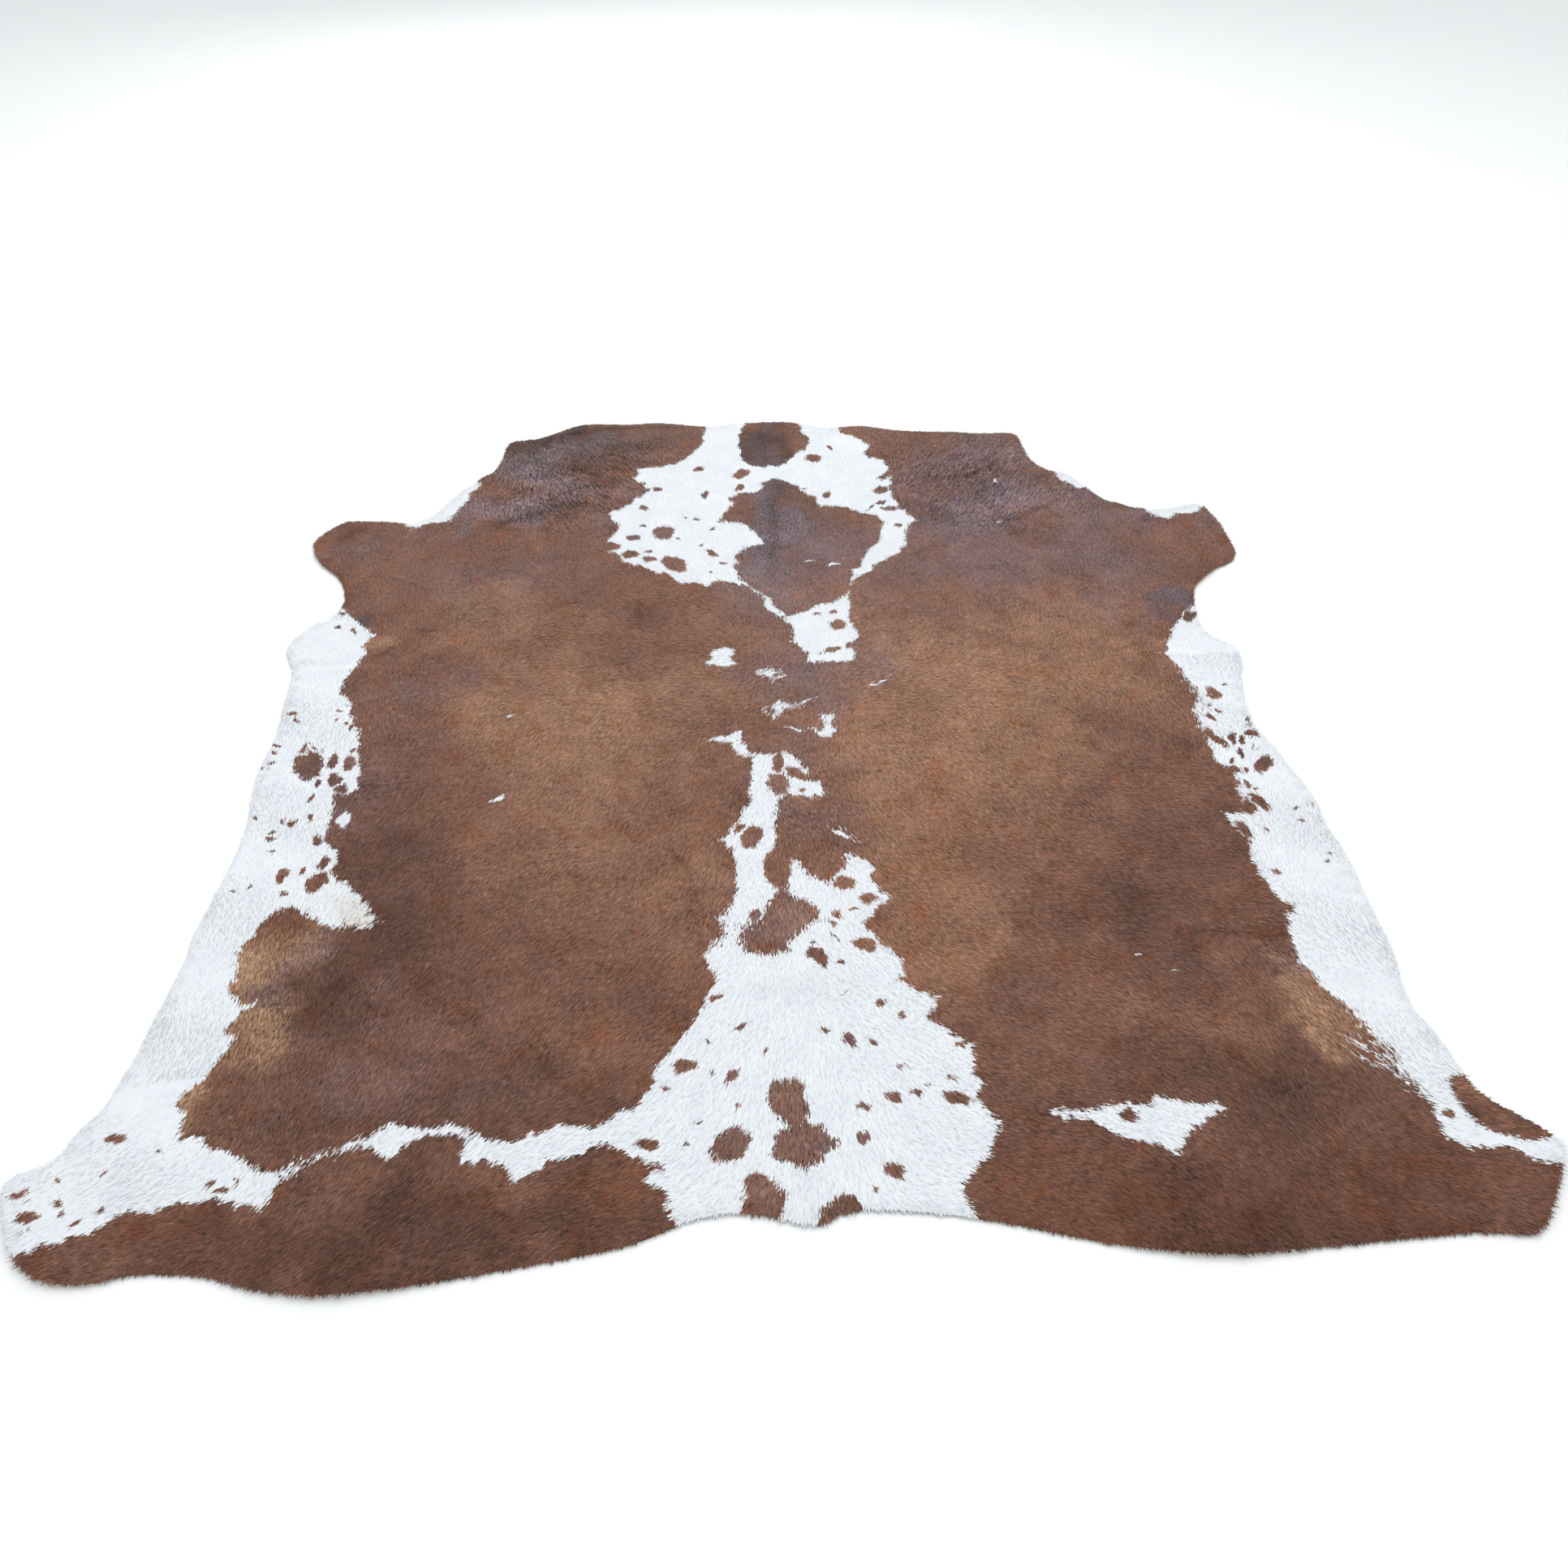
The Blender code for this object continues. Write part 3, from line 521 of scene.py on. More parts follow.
# Slower waves bend the tints' ovals. An oval has faded out by its size over the fall.
TINT_FALL = 0.6
TINT_WAVES = (
    Wave(31, 20, 2.6, 0.4), Wave(19, 75, 1.8, 2.1), Wave(12, 130, 1.2, 4.4),
    Wave(7.5, 50, 0.9, 1.3), Wave(4.6, 160, 0.6, 3.0),
)


def tint_at(tints, across, along):
    """The strength of one tint at each point."""
    across, along = wander(TINT_WAVES, across, along)
    total = np.zeros(across.shape)
    for tint in tints:
        lengthwise, crosswise = oval_place(tint, across, along)
        total += tint.amount * bell(1.0 - TINT_FALL * np.hypot(lengthwise, crosswise))
    return np.clip(total, 0.0, 1.0)


# Old spots that show faintly through the brown: a little darker, with firmer edges.
FAINT_OVALS = (
    Tint(5.5, 2.0, 9.5, 8.5, 0, 1.0), Tint(3.0, -15.0, 5.5, 5.0, 0, 0.8),
    Tint(8.0, -36.5, 5.5, 5.5, 0, 1.0), Tint(1.5, -38.0, 5.5, 8.0, 0, 0.6),
    Tint(-9.0, -28.0, 3.4, 4.0, 0, 0.9), Tint(-10.0, -2.0, 12.0, 9.0, 0, 0.4),
    Tint(-5.0, 20.0, 8.0, 12.0, 0, 0.5), Tint(-76.5, -24.0, 5.0, 7.0, 0, 0.8),
)
OVAL_SOFTNESS = 2.2
OVAL_DARK = 0.14
OVAL_GREY = 0.10


def faint_ovals(across, along):
    """The strength of the faint ovals at each point."""
    across, along = wander(EDGE_WAVES, across, along)
    strongest = np.zeros(across.shape)
    for oval in FAINT_OVALS:
        lengthwise, crosswise = oval_place(oval, across, along)
        size = math.sqrt(oval.half_length * oval.half_width)
        depth = (1.0 - np.hypot(lengthwise, crosswise)) * size
        strongest = np.maximum(strongest, oval.amount * bell(0.5 + depth / OVAL_SOFTNESS))
    return strongest


# How the hair lies: the turn of its streaks from across to along, in degrees. It parts
# behind the shoulders and whirls at the flanks.
Lay = namedtuple("Lay", "across along turn")
LAY_CHART = (
    Lay(-60, 90, 105), Lay(-42, 92, 115), Lay(-28, 96, 110), Lay(-36, 78, 120),
    Lay(-62, 70, 72), Lay(-50, 72, 110), Lay(-66, 63, 85), Lay(-92, 54, 122),
    Lay(-74, 54, 132), Lay(-58, 54, 128), Lay(-42, 56, 118), Lay(-84, 38, 115),
    Lay(-50, 42, 132), Lay(-34, 42, 132), Lay(-76, 26, 95), Lay(-58, 28, 140),
    Lay(-40, 30, 140), Lay(-20, 28, 165), Lay(-76, 12, 80), Lay(-62, 14, 60), Lay(-42, 16, 0),
    Lay(-20, 12, 5), Lay(-76, -4, 86), Lay(-58, 2, 40), Lay(-40, 4, 25), Lay(-18, -2, 10),
    Lay(-54, -10, 52), Lay(-30, -12, 50), Lay(-68, -20, 65), Lay(-44, -26, 56),
    Lay(-16, -24, 56), Lay(-66, -38, 62), Lay(-40, -44, 46), Lay(-14, -44, 66),
    Lay(-58, -56, 54), Lay(-30, -60, 44), Lay(-76, -68, 86), Lay(-64, -74, 74),
    Lay(-42, -74, 62), Lay(-24, -78, 45), Lay(-74, -90, 74), Lay(-52, -92, 60),
    Lay(-32, -90, 36), Lay(-84, -105, 22), Lay(-54, -104, 42), Lay(-26, -104, 20),
    Lay(-86, 10, 100), Lay(-85, -18, 112), Lay(-85, -44, 104), Lay(-88, -70, 92),
    Lay(-94, -94, 50), Lay(-3, 96, 92), Lay(4, 98, 112), Lay(-20, 92, 112), Lay(-20, 60, 112),
    Lay(-4, 62, 104), Lay(8, 62, 72), Lay(-4, 44, 104), Lay(6, 46, 64), Lay(14, 48, 34),
    Lay(0, 26, 110), Lay(6, 30, 60), Lay(4, 14, 75), Lay(0, 0, 60), Lay(-3, -14, 68),
    Lay(6, -32, 110), Lay(0, -54, 86), Lay(-12, -84, 62), Lay(0, -88, 85), Lay(12, -84, 128),
    Lay(12, -62, 128), Lay(14, 88, 88), Lay(26, 58, 70), Lay(28, 92, 80), Lay(44, 92, 52),
    Lay(56, 92, 58), Lay(42, 76, 54), Lay(60, 78, 60), Lay(38, 60, 58), Lay(56, 58, 56),
    Lay(76, 56, 66), Lay(93, 52, 60), Lay(34, 42, 60), Lay(60, 40, 60), Lay(84, 36, 60),
    Lay(22, 26, 44), Lay(48, 26, 60), Lay(74, 24, 58), Lay(22, 14, 46), Lay(46, 14, 52),
    Lay(74, 10, 88), Lay(24, 4, 5), Lay(42, 4, 165), Lay(60, 4, 120), Lay(24, -12, 134),
    Lay(44, -12, 116), Lay(68, -8, 98), Lay(24, -30, 130), Lay(46, -30, 138),
    Lay(68, -28, 148), Lay(24, -50, 142), Lay(48, -50, 156), Lay(70, -52, 154),
    Lay(30, -68, 150), Lay(54, -68, 144), Lay(72, -70, 118), Lay(34, -86, 158),
    Lay(56, -84, 140), Lay(70, -88, 110), Lay(28, -102, 160), Lay(52, -102, 138),
    Lay(80, -102, 152), Lay(94, -98, 158), Lay(84, 12, 82), Lay(84, -18, 62),
    Lay(84, -46, 78), Lay(84, -72, 102),
)
LAY_SOFTNESS = 5.0
LAY_FALL = -2.0


def lay_angle(across, along):
    """The turn of the hair's streaks from along, in radians."""
    cosines, sines = np.zeros(across.shape), np.zeros(across.shape)
    for row in LAY_CHART:
        away = (across - row.across) ** 2 + (along - row.along) ** 2 + LAY_SOFTNESS**2
        cosines += away**LAY_FALL * math.cos(math.radians(2 * row.turn))
        sines += away**LAY_FALL * math.sin(math.radians(2 * row.turn))
    return np.arctan2(sines, cosines) / 2 - math.pi / 2


# Darker lines and bands along the folds, and lighter ones below 0. They are partly darker
# hair, and partly painted shade in the folds and painted light on the humps between them.
Stroke = namedtuple("Stroke", "across along end_across end_along half_width amount")
DARK_AND_SHADE_STROKES = (
    Stroke(-64, 90, -60.5, 95.5, 0.8, 0.7), Stroke(-60, 95, -55.5, 89, 0.5, 0.6),
    Stroke(-55.5, 89, -46, 84.7, 0.5, 0.7), Stroke(-47.5, 85.2, -41.5, 83, 0.7, 0.8),
    Stroke(-41.5, 83, -39.5, 79, 1.0, 0.5), Stroke(-41.5, 79.5, -40, 76.5, 2.0, 0.5),
    Stroke(-57, 98, -50, 101.5, 1.7, 0.9), Stroke(-55.5, 97.5, -53.5, 95.5, 1.5, 0.6),
    Stroke(-50, 102, -46, 104.3, 1.2, 0.8), Stroke(-63, 61, -52, 66, 1.9, 0.6),
    Stroke(-53, 66.5, -42, 70.5, 2.6, 0.7), Stroke(-64, 60.3, -57, 58.3, 0.6, 0.5),
    Stroke(-45, 96, -28, 96.5, 1.8, 0.3), Stroke(-36, 88, -38, 76, 1.5, 0.25),
    Stroke(-43, 105, -22, 105.6, 0.9, 0.6), Stroke(41, 84, 47.5, 90.5, 0.9, 0.5),
    Stroke(34, 76.5, 50, 80.5, 1.1, 0.45), Stroke(50, 57.5, 64, 66.5, 1.0, 0.5),
    Stroke(36, 87, 43, 92, 0.9, 0.35), Stroke(45, 70, 49, 71.5, 2.6, 0.5),
    Stroke(60, 77, 66, 79, 1.2, 0.5), Stroke(81, 60, 80, 51, 0.7, 0.35),
    Stroke(84, 60.5, 82.5, 57.5, 1.0, 0.6), Stroke(30, 46, 43, 55, 1.6, 0.3),
    Stroke(61, -60.3, 75, -62, 0.5, 0.5), Stroke(58, -55, 76, -54, 0.9, 0.2),
    Stroke(-94, -83, -84, -81.5, 0.8, 0.1), Stroke(-60, 42, -48, 40, 2.0, 0.2),
    Stroke(-50, 40, -52, 33, 1.0, 0.3), Stroke(-29, 30, -28, 20, 1.4, 0.3),
    Stroke(0, 77, -1, 40, 1.4, 0.5), Stroke(-2.5, 103, -1.5, 86, 1.5, 0.5),
    Stroke(-64, -58, -72, -82, 3.0, 0.25), Stroke(-50, -64, -44, -80, 1.6, 0.25),
    Stroke(-80, 12.5, -76, 16, 0.6, 0.5), Stroke(66, 11, 73, 13.5, 0.5, 0.4),
    Stroke(-52, -96, -56, -111, 3.0, 0.35), Stroke(48, -98, 46, -111, 3.0, 0.42),
    Stroke(60, -85, 72, -95, 3.0, 0.25), Stroke(56, 83, 58, 92, 1.5, -0.3),
    Stroke(-66, 64, -52, 74, 2.4, -0.3), Stroke(-62, 78, -48, 80, 2.0, -0.2),
    Stroke(52, 62, 62, 72, 2.0, -0.25), Stroke(62, -64.5, 74, -66, 0.7, -0.2),
    Stroke(-97, 56, -90, 60, 1.4, 0.25), Stroke(96, 60, 98, 46, 1.2, 0.3),
    Stroke(1, 103, 0, 87, 5.0, 0.2), Stroke(-61, 98, -44, 104.5, 3.5, 0.5),
    Stroke(46, -111, 62, -110, 4.0, 0.38), Stroke(54, -100, 58, -110, 3.5, 0.2),
    Stroke(-9, -69, 10, -70, 2.5, 0.3), Stroke(86, -38, 86.5, -52, 3.0, 0.2),
    Stroke(82, -69, 83.5, -73, 1.2, 0.35), Stroke(74.5, -67, 80, -80, 2.6, -0.15),
    Stroke(82.8, -24.5, 85, -21.5, 1.5, 0.3), Stroke(1, -104.5, 6.5, -103.5, 1.5, 0.25),
)


LINE_START = 0.4
LINE_RISE = 2.5


def along_line(row, across, along):
    """How strongly each point lies on a line from one end to the other, with soft ends."""
    run_x, run_y = row.end_across - row.across, row.end_along - row.along
    length = math.hypot(run_x, run_y)
    right, forward = across - row.across, along - row.along
    share = (right * run_x + forward * run_y) / length**2
    away = (forward * run_x - right * run_y) / length
    ends = bell(LINE_START + LINE_RISE * share) * bell(LINE_START + LINE_RISE * (1.0 - share))
    return ends * np.exp(-((away / row.half_width) ** 2))


def strokes_at(across, along):
    """How much darker the strokes make the hair at each point, partly as darker hair and
    partly as painted shade; below 0 it is painted light.
    """
    return sum(row.amount * along_line(row, across, along) for row in DARK_AND_SHADE_STROKES)


# Creases left by the folded skin: a soft trough or ridge from one end to the other.
Crease = namedtuple("Crease", "across along end_across end_along half_width rise")
CREASES = (
    Crease(-59, 94, -54, 88.5, 1.2, -0.20), Crease(-54, 88.5, -40, 82, 1.4, -0.24),
    Crease(-70, 60, -38, 78, 1.8, -0.22), Crease(-64, 66, -44, 79, 1.6, 0.20),
    Crease(40, 83.5, 45, 88, 1.0, -0.18), Crease(39, 76.8, 50, 79.5, 1.0, -0.20),
    Crease(50, 78, 55, 85, 1.1, -0.18), Crease(36, 87, 50, 95, 1.3, -0.16),
    Crease(47, 66, 58, 74, 1.2, -0.18), Crease(-82, 52, -83, 60, 1.2, -0.22),
    Crease(80.5, 52, 79, 61, 1.2, -0.22), Crease(64, -60.5, 75, -62, 0.8, -0.14),
    Crease(-80, -78.7, -75.5, -77.7, 0.9, -0.15), Crease(5, 41.8, 16, 41.8, 0.7, -0.10),
    Crease(2, 33.7, 12, 33.7, 0.7, -0.10), Crease(-94, 12.7, -87, 12.3, 0.8, -0.12),
    Crease(-94, -83, -84, -81.5, 0.9, -0.14), Crease(-50, 70, -30, 86, 2.4, 0.14),
    Crease(-66, 72, -56, 84, 1.6, 0.16), Crease(56, 62, 68, 70, 1.5, 0.12),
)


def crease_rise(across, along):
    """How far the creases move the hair side up or down, in centimetres."""
    return sum(row.rise * along_line(row, across, along) for row in CREASES)


# The hair side is cut into square cells, in metres, and these into finer ones. The
# finest lie within the edge band of a change of colour, in centimetres.
CELL = 0.040
CELL_SNAP = CELL / 8
CELL_CUTS = 4
EDGE_BAND = 0.75
LOOK_FROM = 0.04
SMOOTH_PASSES = 14
SMOOTH_SHARE = 0.5
FACES_UP = 0.5
SAME_PLACE = 1e-5


def chart_places(points):
    """Where points in metres lie on the charts: across and along, in centimetres. The
    charts hold each mark where the eye sees it against the floor."""
    share = EYE[2] / (EYE[2] - points[:, 2])
    x = EYE[0] + (points[:, 0] - EYE[0]) * share
    y = EYE[1] + (points[:, 1] - EYE[1]) * share
    return (x - SPINE_ACROSS) / CM, (y - SPINE_ALONG) / CM


def is_hair_side(face):
    return face.normal.z > FACES_UP


def top_faces(form):
    return [face for face in form.faces if is_hair_side(face)]


def solid_form():
    """A merged copy of the hide's solid."""
    form = bmesh.new()
    form.from_mesh(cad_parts["hide"].data)
    bmesh.ops.remove_doubles(form, verts=form.verts, dist=SAME_PLACE)
    return form


def flat_cut():
    """The hide's outline as one flat face, before it is cut into cells."""
    cut = solid_form()
    rest = [face for face in cut.faces if not is_hair_side(face)]
    bmesh.ops.delete(cut, geom=rest, context="FACES")
    for vert in cut.verts:
        vert.co.z = 0.0
    bmesh.ops.dissolve_faces(cut, faces=cut.faces[:])
    return cut


def cut_into_cells(sheet):
    """Cuts the flat sheet along a square grid."""
    for axis in (0, 1):
        lines = math.floor(max(abs(vert.co[axis]) for vert in sheet.verts) / CELL)
        for line in range(-lines, lines + 1):
            place, normal = Vector(), Vector()
            place[axis] = line * CELL
            normal[axis] = 1.0
            bmesh.ops.bisect_plane(
                sheet, geom=sheet.verts[:] + sheet.edges[:] + sheet.faces[:],
                dist=CELL_SNAP, plane_co=place, plane_no=normal,
            )


def subdivide(form, faces, cuts):
    """Cuts every edge of the faces into equal parts."""
    edges = list({edge for face in faces for edge in face.edges})
    bmesh.ops.subdivide_edges(form, edges=edges, cuts=cuts, use_grid_fill=True)


def height_on(solid, vert, look_from):
    """The solid's height at a point, on the side that faces the height looked from."""
    return solid.find_nearest(Vector((vert.co.x, vert.co.y, look_from)))[0].z


def fine_hide():
    """The solid's own form with a finer hair side, finest where the colours meet."""
    form = solid_form()
    solid = BVHTree.FromBMesh(form)
    form.free()
    skin = flat_cut()
    cut_into_cells(skin)
    underside = skin.verts[:]
    raised = bmesh.ops.extrude_face_region(
        skin, geom=skin.faces[:], use_keep_orig=True
    )
    for part in raised["geom"]:
        if isinstance(part, bmesh.types.BMVert):
            part.co.z = LOOK_FROM
    for vert in underside:
        vert.co.z = height_on(solid, vert, -LOOK_FROM)
    bmesh.ops.recalc_face_normals(skin, faces=skin.faces[:])

    subdivide(skin, top_faces(skin), CELL_CUTS)
    top = top_faces(skin)
    middles = np.array([face.calc_center_median() for face in top])
    near_edge = np.abs(patch_depth(*chart_places(middles))) < EDGE_BAND
    near_edge |= np.abs(spot_depth(nearest_spot(*chart_places(middles))[0])) < EDGE_BAND
    subdivide(skin, [face for face, near in zip(top, near_edge) if near], 1)

    hair = [vert for vert in skin.verts if vert.co.z > LOOK_FROM / 2]
    for vert in hair:
        vert.co.z = height_on(solid, vert, LOOK_FROM)
    inner = [
        vert for vert in hair if all(is_hair_side(face) for face in vert.link_faces)
    ]
    for _ in range(SMOOTH_PASSES):
        bmesh.ops.smooth_vert(
            skin, verts=inner, factor=SMOOTH_SHARE,
            use_axis_x=False, use_axis_y=False, use_axis_z=True,
        )
    bmesh.ops.triangulate(skin, faces=skin.faces[:])
    skin.verts.index_update()
    hair_rows = sorted(vert.index for vert in hair)
    mesh = bpy.data.meshes.new("cow_hide")
    skin.to_mesh(mesh)
    skin.free()
    return mesh, hair_rows


def points_of(mesh):
    flat = np.empty(len(mesh.vertices) * 3, np.float32)
    mesh.vertices.foreach_get("co", flat)
    return flat.reshape(-1, 3).astype(float)


def set_points(mesh, points):
    mesh.vertices.foreach_set("co", points.astype(np.float32).ravel())
    mesh.update()


def paint(mesh, name, values):
    """Stores a number, an arrow or a colour at each point of the mesh."""
    width = 1 if values.ndim == 1 else values.shape[1]
    kind = {1: "FLOAT", 3: "FLOAT_VECTOR", 4: "FLOAT_COLOR"}[width]
    field = {1: "value", 3: "vector", 4: "color"}[width]
    layer = mesh.attributes.new(name, kind, "POINT")
    layer.data.foreach_set(field, values.astype(np.float32).ravel())


def double_angle(angle):
    """An arrow that is the same for a streak and for its opposite."""
    return np.stack([np.cos(2 * angle), np.sin(2 * angle), np.zeros(angle.shape)], 1)


def hair_charts(across, along, hair):
    """What the charts say of the hair at each point, by the name it is stored under."""
    ovals = faint_ovals(across, along)
    ginger, dusk, tan, grey_sheen, cream, roan, rust, ruffle = [
        tint_at(chart, across, along)
        for chart in (GINGER, DUSK, TAN, GREY_SHEEN, CREAM, ROAN, RUST, RUFFLED)
    ]
    # The strokes' darker hair, painted shade and painted light, and the faint ovals' darker
    # hair.
    shade_and_dark = strokes_at(across, along) + ovals * OVAL_DARK
    return {
        "lay": double_angle(lay_angle(across, along)),
        "tints": np.stack([ginger, dusk, tan, np.clip(grey_sheen + ovals * OVAL_GREY, 0, 1)], 1),
        "coat": np.stack([cream, roan, hair], 1),
        "marks": np.stack([shade_and_dark, rust, ruffle], 1),
    }


hide_mesh, hair_rows = fine_hide()
hide_points = points_of(hide_mesh)
hide_across, hide_along = chart_places(hide_points)
hair_share = np.zeros(len(hide_points))
hair_share[hair_rows] = 1.0
hide_points[:, 2] += hair_share * crease_rise(hide_across, hide_along) * CM
set_points(hide_mesh, hide_points)

spot_place, spot_mark = nearest_spot(hide_across, hide_along)
paint(hide_mesh, "patch", patch_depth(hide_across, hide_along))
paint(hide_mesh, "spot", spot_place)
paint(hide_mesh, "spot_mark", spot_mark)
for chart_name, chart in hair_charts(hide_across, hide_along, hair_share).items():
    paint(hide_mesh, chart_name, chart)


class Value:
    """A socket of a material. An expression on values adds the nodes that work it out."""

    def __init__(self, tree, socket=None):
        self.tree = tree
        self.socket = socket

    def node(self, kind, settings, values, out=0):
        """Adds a node: its settings, then the values or links of its sockets."""
        made = self.tree.nodes.new(kind)
        for name, setting in settings.items():
            if name == "stops":
                fill_ramp(made.color_ramp, setting)
            else:
                setattr(made, name, setting)
        for name, value in values.items():
            if isinstance(value, Value):
                self.tree.links.new(value.socket, made.inputs[name])
            else:
                made.inputs[name].default_value = value
        return Value(self.tree, made.outputs[out])

    def maths(self, operation, *values):
        return self.node("ShaderNodeMath", {"operation": operation}, dict(enumerate(values)))

    def __add__(self, other):
        return self.maths("ADD", self, other)

    def __sub__(self, other):
        return self.maths("SUBTRACT", self, other)

    def __rsub__(self, other):
        return self.maths("SUBTRACT", other, self)

    def __mul__(self, other):
        return self.maths("MULTIPLY", self, other)

    __radd__ = __add__
    __rmul__ = __mul__

    def step(self, low, high):
        """0 below low and 1 above high, with a soft rise between."""
        return self.node(
            "ShaderNodeMapRange", {"interpolation_type": "SMOOTHSTEP"},
            {"Value": self, "From Min": low, "From Max": high},
        )

    def shade(self, factor):
        """This colour made lighter or darker by a factor."""
        return self.node(
            "ShaderNodeVectorMath", {"operation": "SCALE"}, {0: self, "Scale": factor}
        )

    def colour(self, start, end):
        """The mix of two colours, this value being the second one's share."""
        return self.node(
            "ShaderNodeMix", {"data_type": "RGBA"}, {0: self, 6: start, 7: end}, out=2
        )


def fill_ramp(ramp, stops):
    while len(ramp.elements) < len(stops):
        ramp.elements.new(1.0)
    for element, (place, colour) in zip(ramp.elements, stops):
        element.position = place
        element.color = colour


def srgb(red, green, blue):
    """A colour as seen on a screen, from 0 to 255, as the shader's linear one."""

    def linear(level):
        level /= 255.0
        return level / 12.92 if level <= 0.04045 else ((level + 0.055) / 1.055) ** 2.4

    return (linear(red), linear(green), linear(blue), 1.0)


# Width and length of what the hair shows, in metres.
STREAK_SIZE = (0.0024, 0.0110)
CLUMP_SIZE = (0.0055, 0.0340)
STREAK_TURNS = 6
STREAK_NEARNESS = (0.5, 1.0)
MOTTLE_SIZE = 0.12
WRINKLE_SIZE = (0.075, 0.011, 1.0)
WRINKLE_WIDTH = (0.006, 0.065)
WRINKLE_PATCH = 0.14
WRINKLE_PATCH_EDGE = (-0.05, 0.10)

DARK_HAIR = srgb(72, 46, 37)
BROWN_HAIR = srgb(120, 81, 63)
GINGER_HAIR = srgb(158, 116, 89)
RUST_HAIR = srgb(114, 66, 40)
TAN_HAIR = srgb(166, 129, 100)
# The grey of the painted sheen on the brown hair.
SHEEN_GREY = srgb(116, 102, 110)
WHITE_HAIR = srgb(232, 234, 236)
# White hair in painted cool shade.
SHADED_WHITE = srgb(206, 212, 220)
CREAM_HAIR = srgb(208, 198, 184)
SUEDE = srgb(192, 173, 149)
SHADED_SUEDE = srgb(152, 132, 109)


def attribute(values, name, out):
    return values.node("ShaderNodeAttribute", {"attribute_name": name}, {}, out)


def split(values, vector):
    return [
        values.node("ShaderNodeSeparateXYZ", {}, {"Vector": vector}, part)
        for part in range(3)
    ]


def hair_streaks(values, place, size):
    """Streaks of one width and length that run as the hair lies, around 0. They are
    mixed from noise drawn out along fixed turns, each counting where the lay is near."""
    lay = attribute(values, "lay", 1)
    total = None
    for index in range(STREAK_TURNS):
        turn = math.pi * index / STREAK_TURNS
        drawn = values.node(
            "ShaderNodeMapping", {"vector_type": "TEXTURE"},
            {"Vector": place, "Rotation": (0.0, 0.0, turn), "Scale": (*size, 1.0)},
        )
        noise = values.node(
            "ShaderNodeTexNoise", {"noise_dimensions": "2D"},
            {"Vector": drawn, "Scale": 1.0, "Detail": 2.0, "Roughness": 0.6},
        )
        nearness = values.node(
            "ShaderNodeVectorMath", {"operation": "DOT_PRODUCT"},
            {0: lay, 1: (math.cos(2 * turn), math.sin(2 * turn), 0.0)}, out=1,
        )
        low, high = STREAK_NEARNESS
        counts = values.node(
            "ShaderNodeMapRange", {}, {"Value": nearness, "From Min": low, "From Max": high}
        )
        part = (noise - 0.5) * counts
        total = part if total is None else total + part
    return total


def cloud(values, place, size, detail=2.0):
    """Soft clouds around 0, of the given size in metres."""
    return values.node(
        "ShaderNodeTexNoise", {},
        {"Vector": place, "Scale": 1.0 / size, "Detail": detail, "Roughness": 0.55},
    ) - 0.5


def mottle(values, place):
    """Clouds of many sizes around 0, three of them: for light, for hue and for the painted
    grey sheen.
    """
    clouds = values.node(
        "ShaderNodeTexNoise", {},
        {"Vector": place, "Scale": 1.0 / MOTTLE_SIZE, "Detail": 5.0, "Roughness": 0.76}, out=1,
    )
    return [
        values.node("ShaderNodeSeparateColor", {}, {"Color": clouds}, part) - 0.5
        for part in range(3)
    ]


def cross_wrinkles(values, place):
    """Thin broken wrinkles of the skin that run across the spine: 1 on them, else 0."""
    drawn = values.node(
        "ShaderNodeMapping", {"vector_type": "TEXTURE"},
        {"Vector": place, "Scale": WRINKLE_SIZE},
    )
    noise = values.node(
        "ShaderNodeTexNoise", {"noise_dimensions": "2D"},
        {"Vector": drawn, "Scale": 1.0, "Detail": 1.5, "Distortion": 0.6},
    )
    line = 1.0 - noise.maths("ABSOLUTE", noise - 0.5).step(*WRINKLE_WIDTH)
    return line * cloud(values, place, WRINKLE_PATCH).step(*WRINKLE_PATCH_EDGE)


# How far the hairs of one colour reach into the other, in centimetres at a full streak.
PATCH_FRAY = 2.6
ROAN_FRAY = 4.5
SPOT_FRAY = 1.1
SPOT_SIZE_FRAY = 0.6
EDGE_SOFTNESS = 0.10
WHOLE_MARK = (0.97, 0.99)


def white_share(values, streaks, roan):
    """1 in white hair and 0 in brown, with the hairs' ragged edge between them. A spot
    counts only where its mark is whole, so that it doesn't bleed into the next one."""
    patch = attribute(values, "patch", 2) + streaks * (PATCH_FRAY + roan * ROAN_FRAY)
    lengthwise, crosswise, size = split(values, attribute(values, "spot", 1))
    reach = values.node(
        "ShaderNodeVectorMath", {"operation": "LENGTH"},
        {0: values.node("ShaderNodeCombineXYZ", {}, {"X": lengthwise, "Y": crosswise})},
        out=1,
    )
    arrow_x, arrow_y, is_white = split(values, attribute(values, "spot_mark", 1))
    whole = (arrow_x * arrow_x + arrow_y * arrow_y).step(*WHOLE_MARK)
    fray = streaks * (size * SPOT_SIZE_FRAY + SPOT_FRAY)
    inside = (1.0 - reach) * size + fray + SPOT_SPREAD
    inside = inside * whole - (1.0 - whole) * PATCH_REACH
    brown_spot = patch.maths("MINIMUM", patch, 0.0 - inside)
    white_spot = patch.maths("MAXIMUM", patch, inside)
    depth = brown_spot + (white_spot - brown_spot) * is_white
    return depth.step(-EDGE_SOFTNESS, EDGE_SOFTNESS)


# How far each thing moves the brown from dark, at 0, to ginger, at 1.
TONE = 0.46
GINGER_TONE = 0.38
DUSK_TONE = 0.40
HUE_TONE = 0.6
STREAK_TONE = 0.15

# How fully a charted tint colours the hair, before streaks and clouds vary it.
RUST_SHARE = 0.6
TAN_SHARE = 0.75
TAN_STREAKS = 2.0
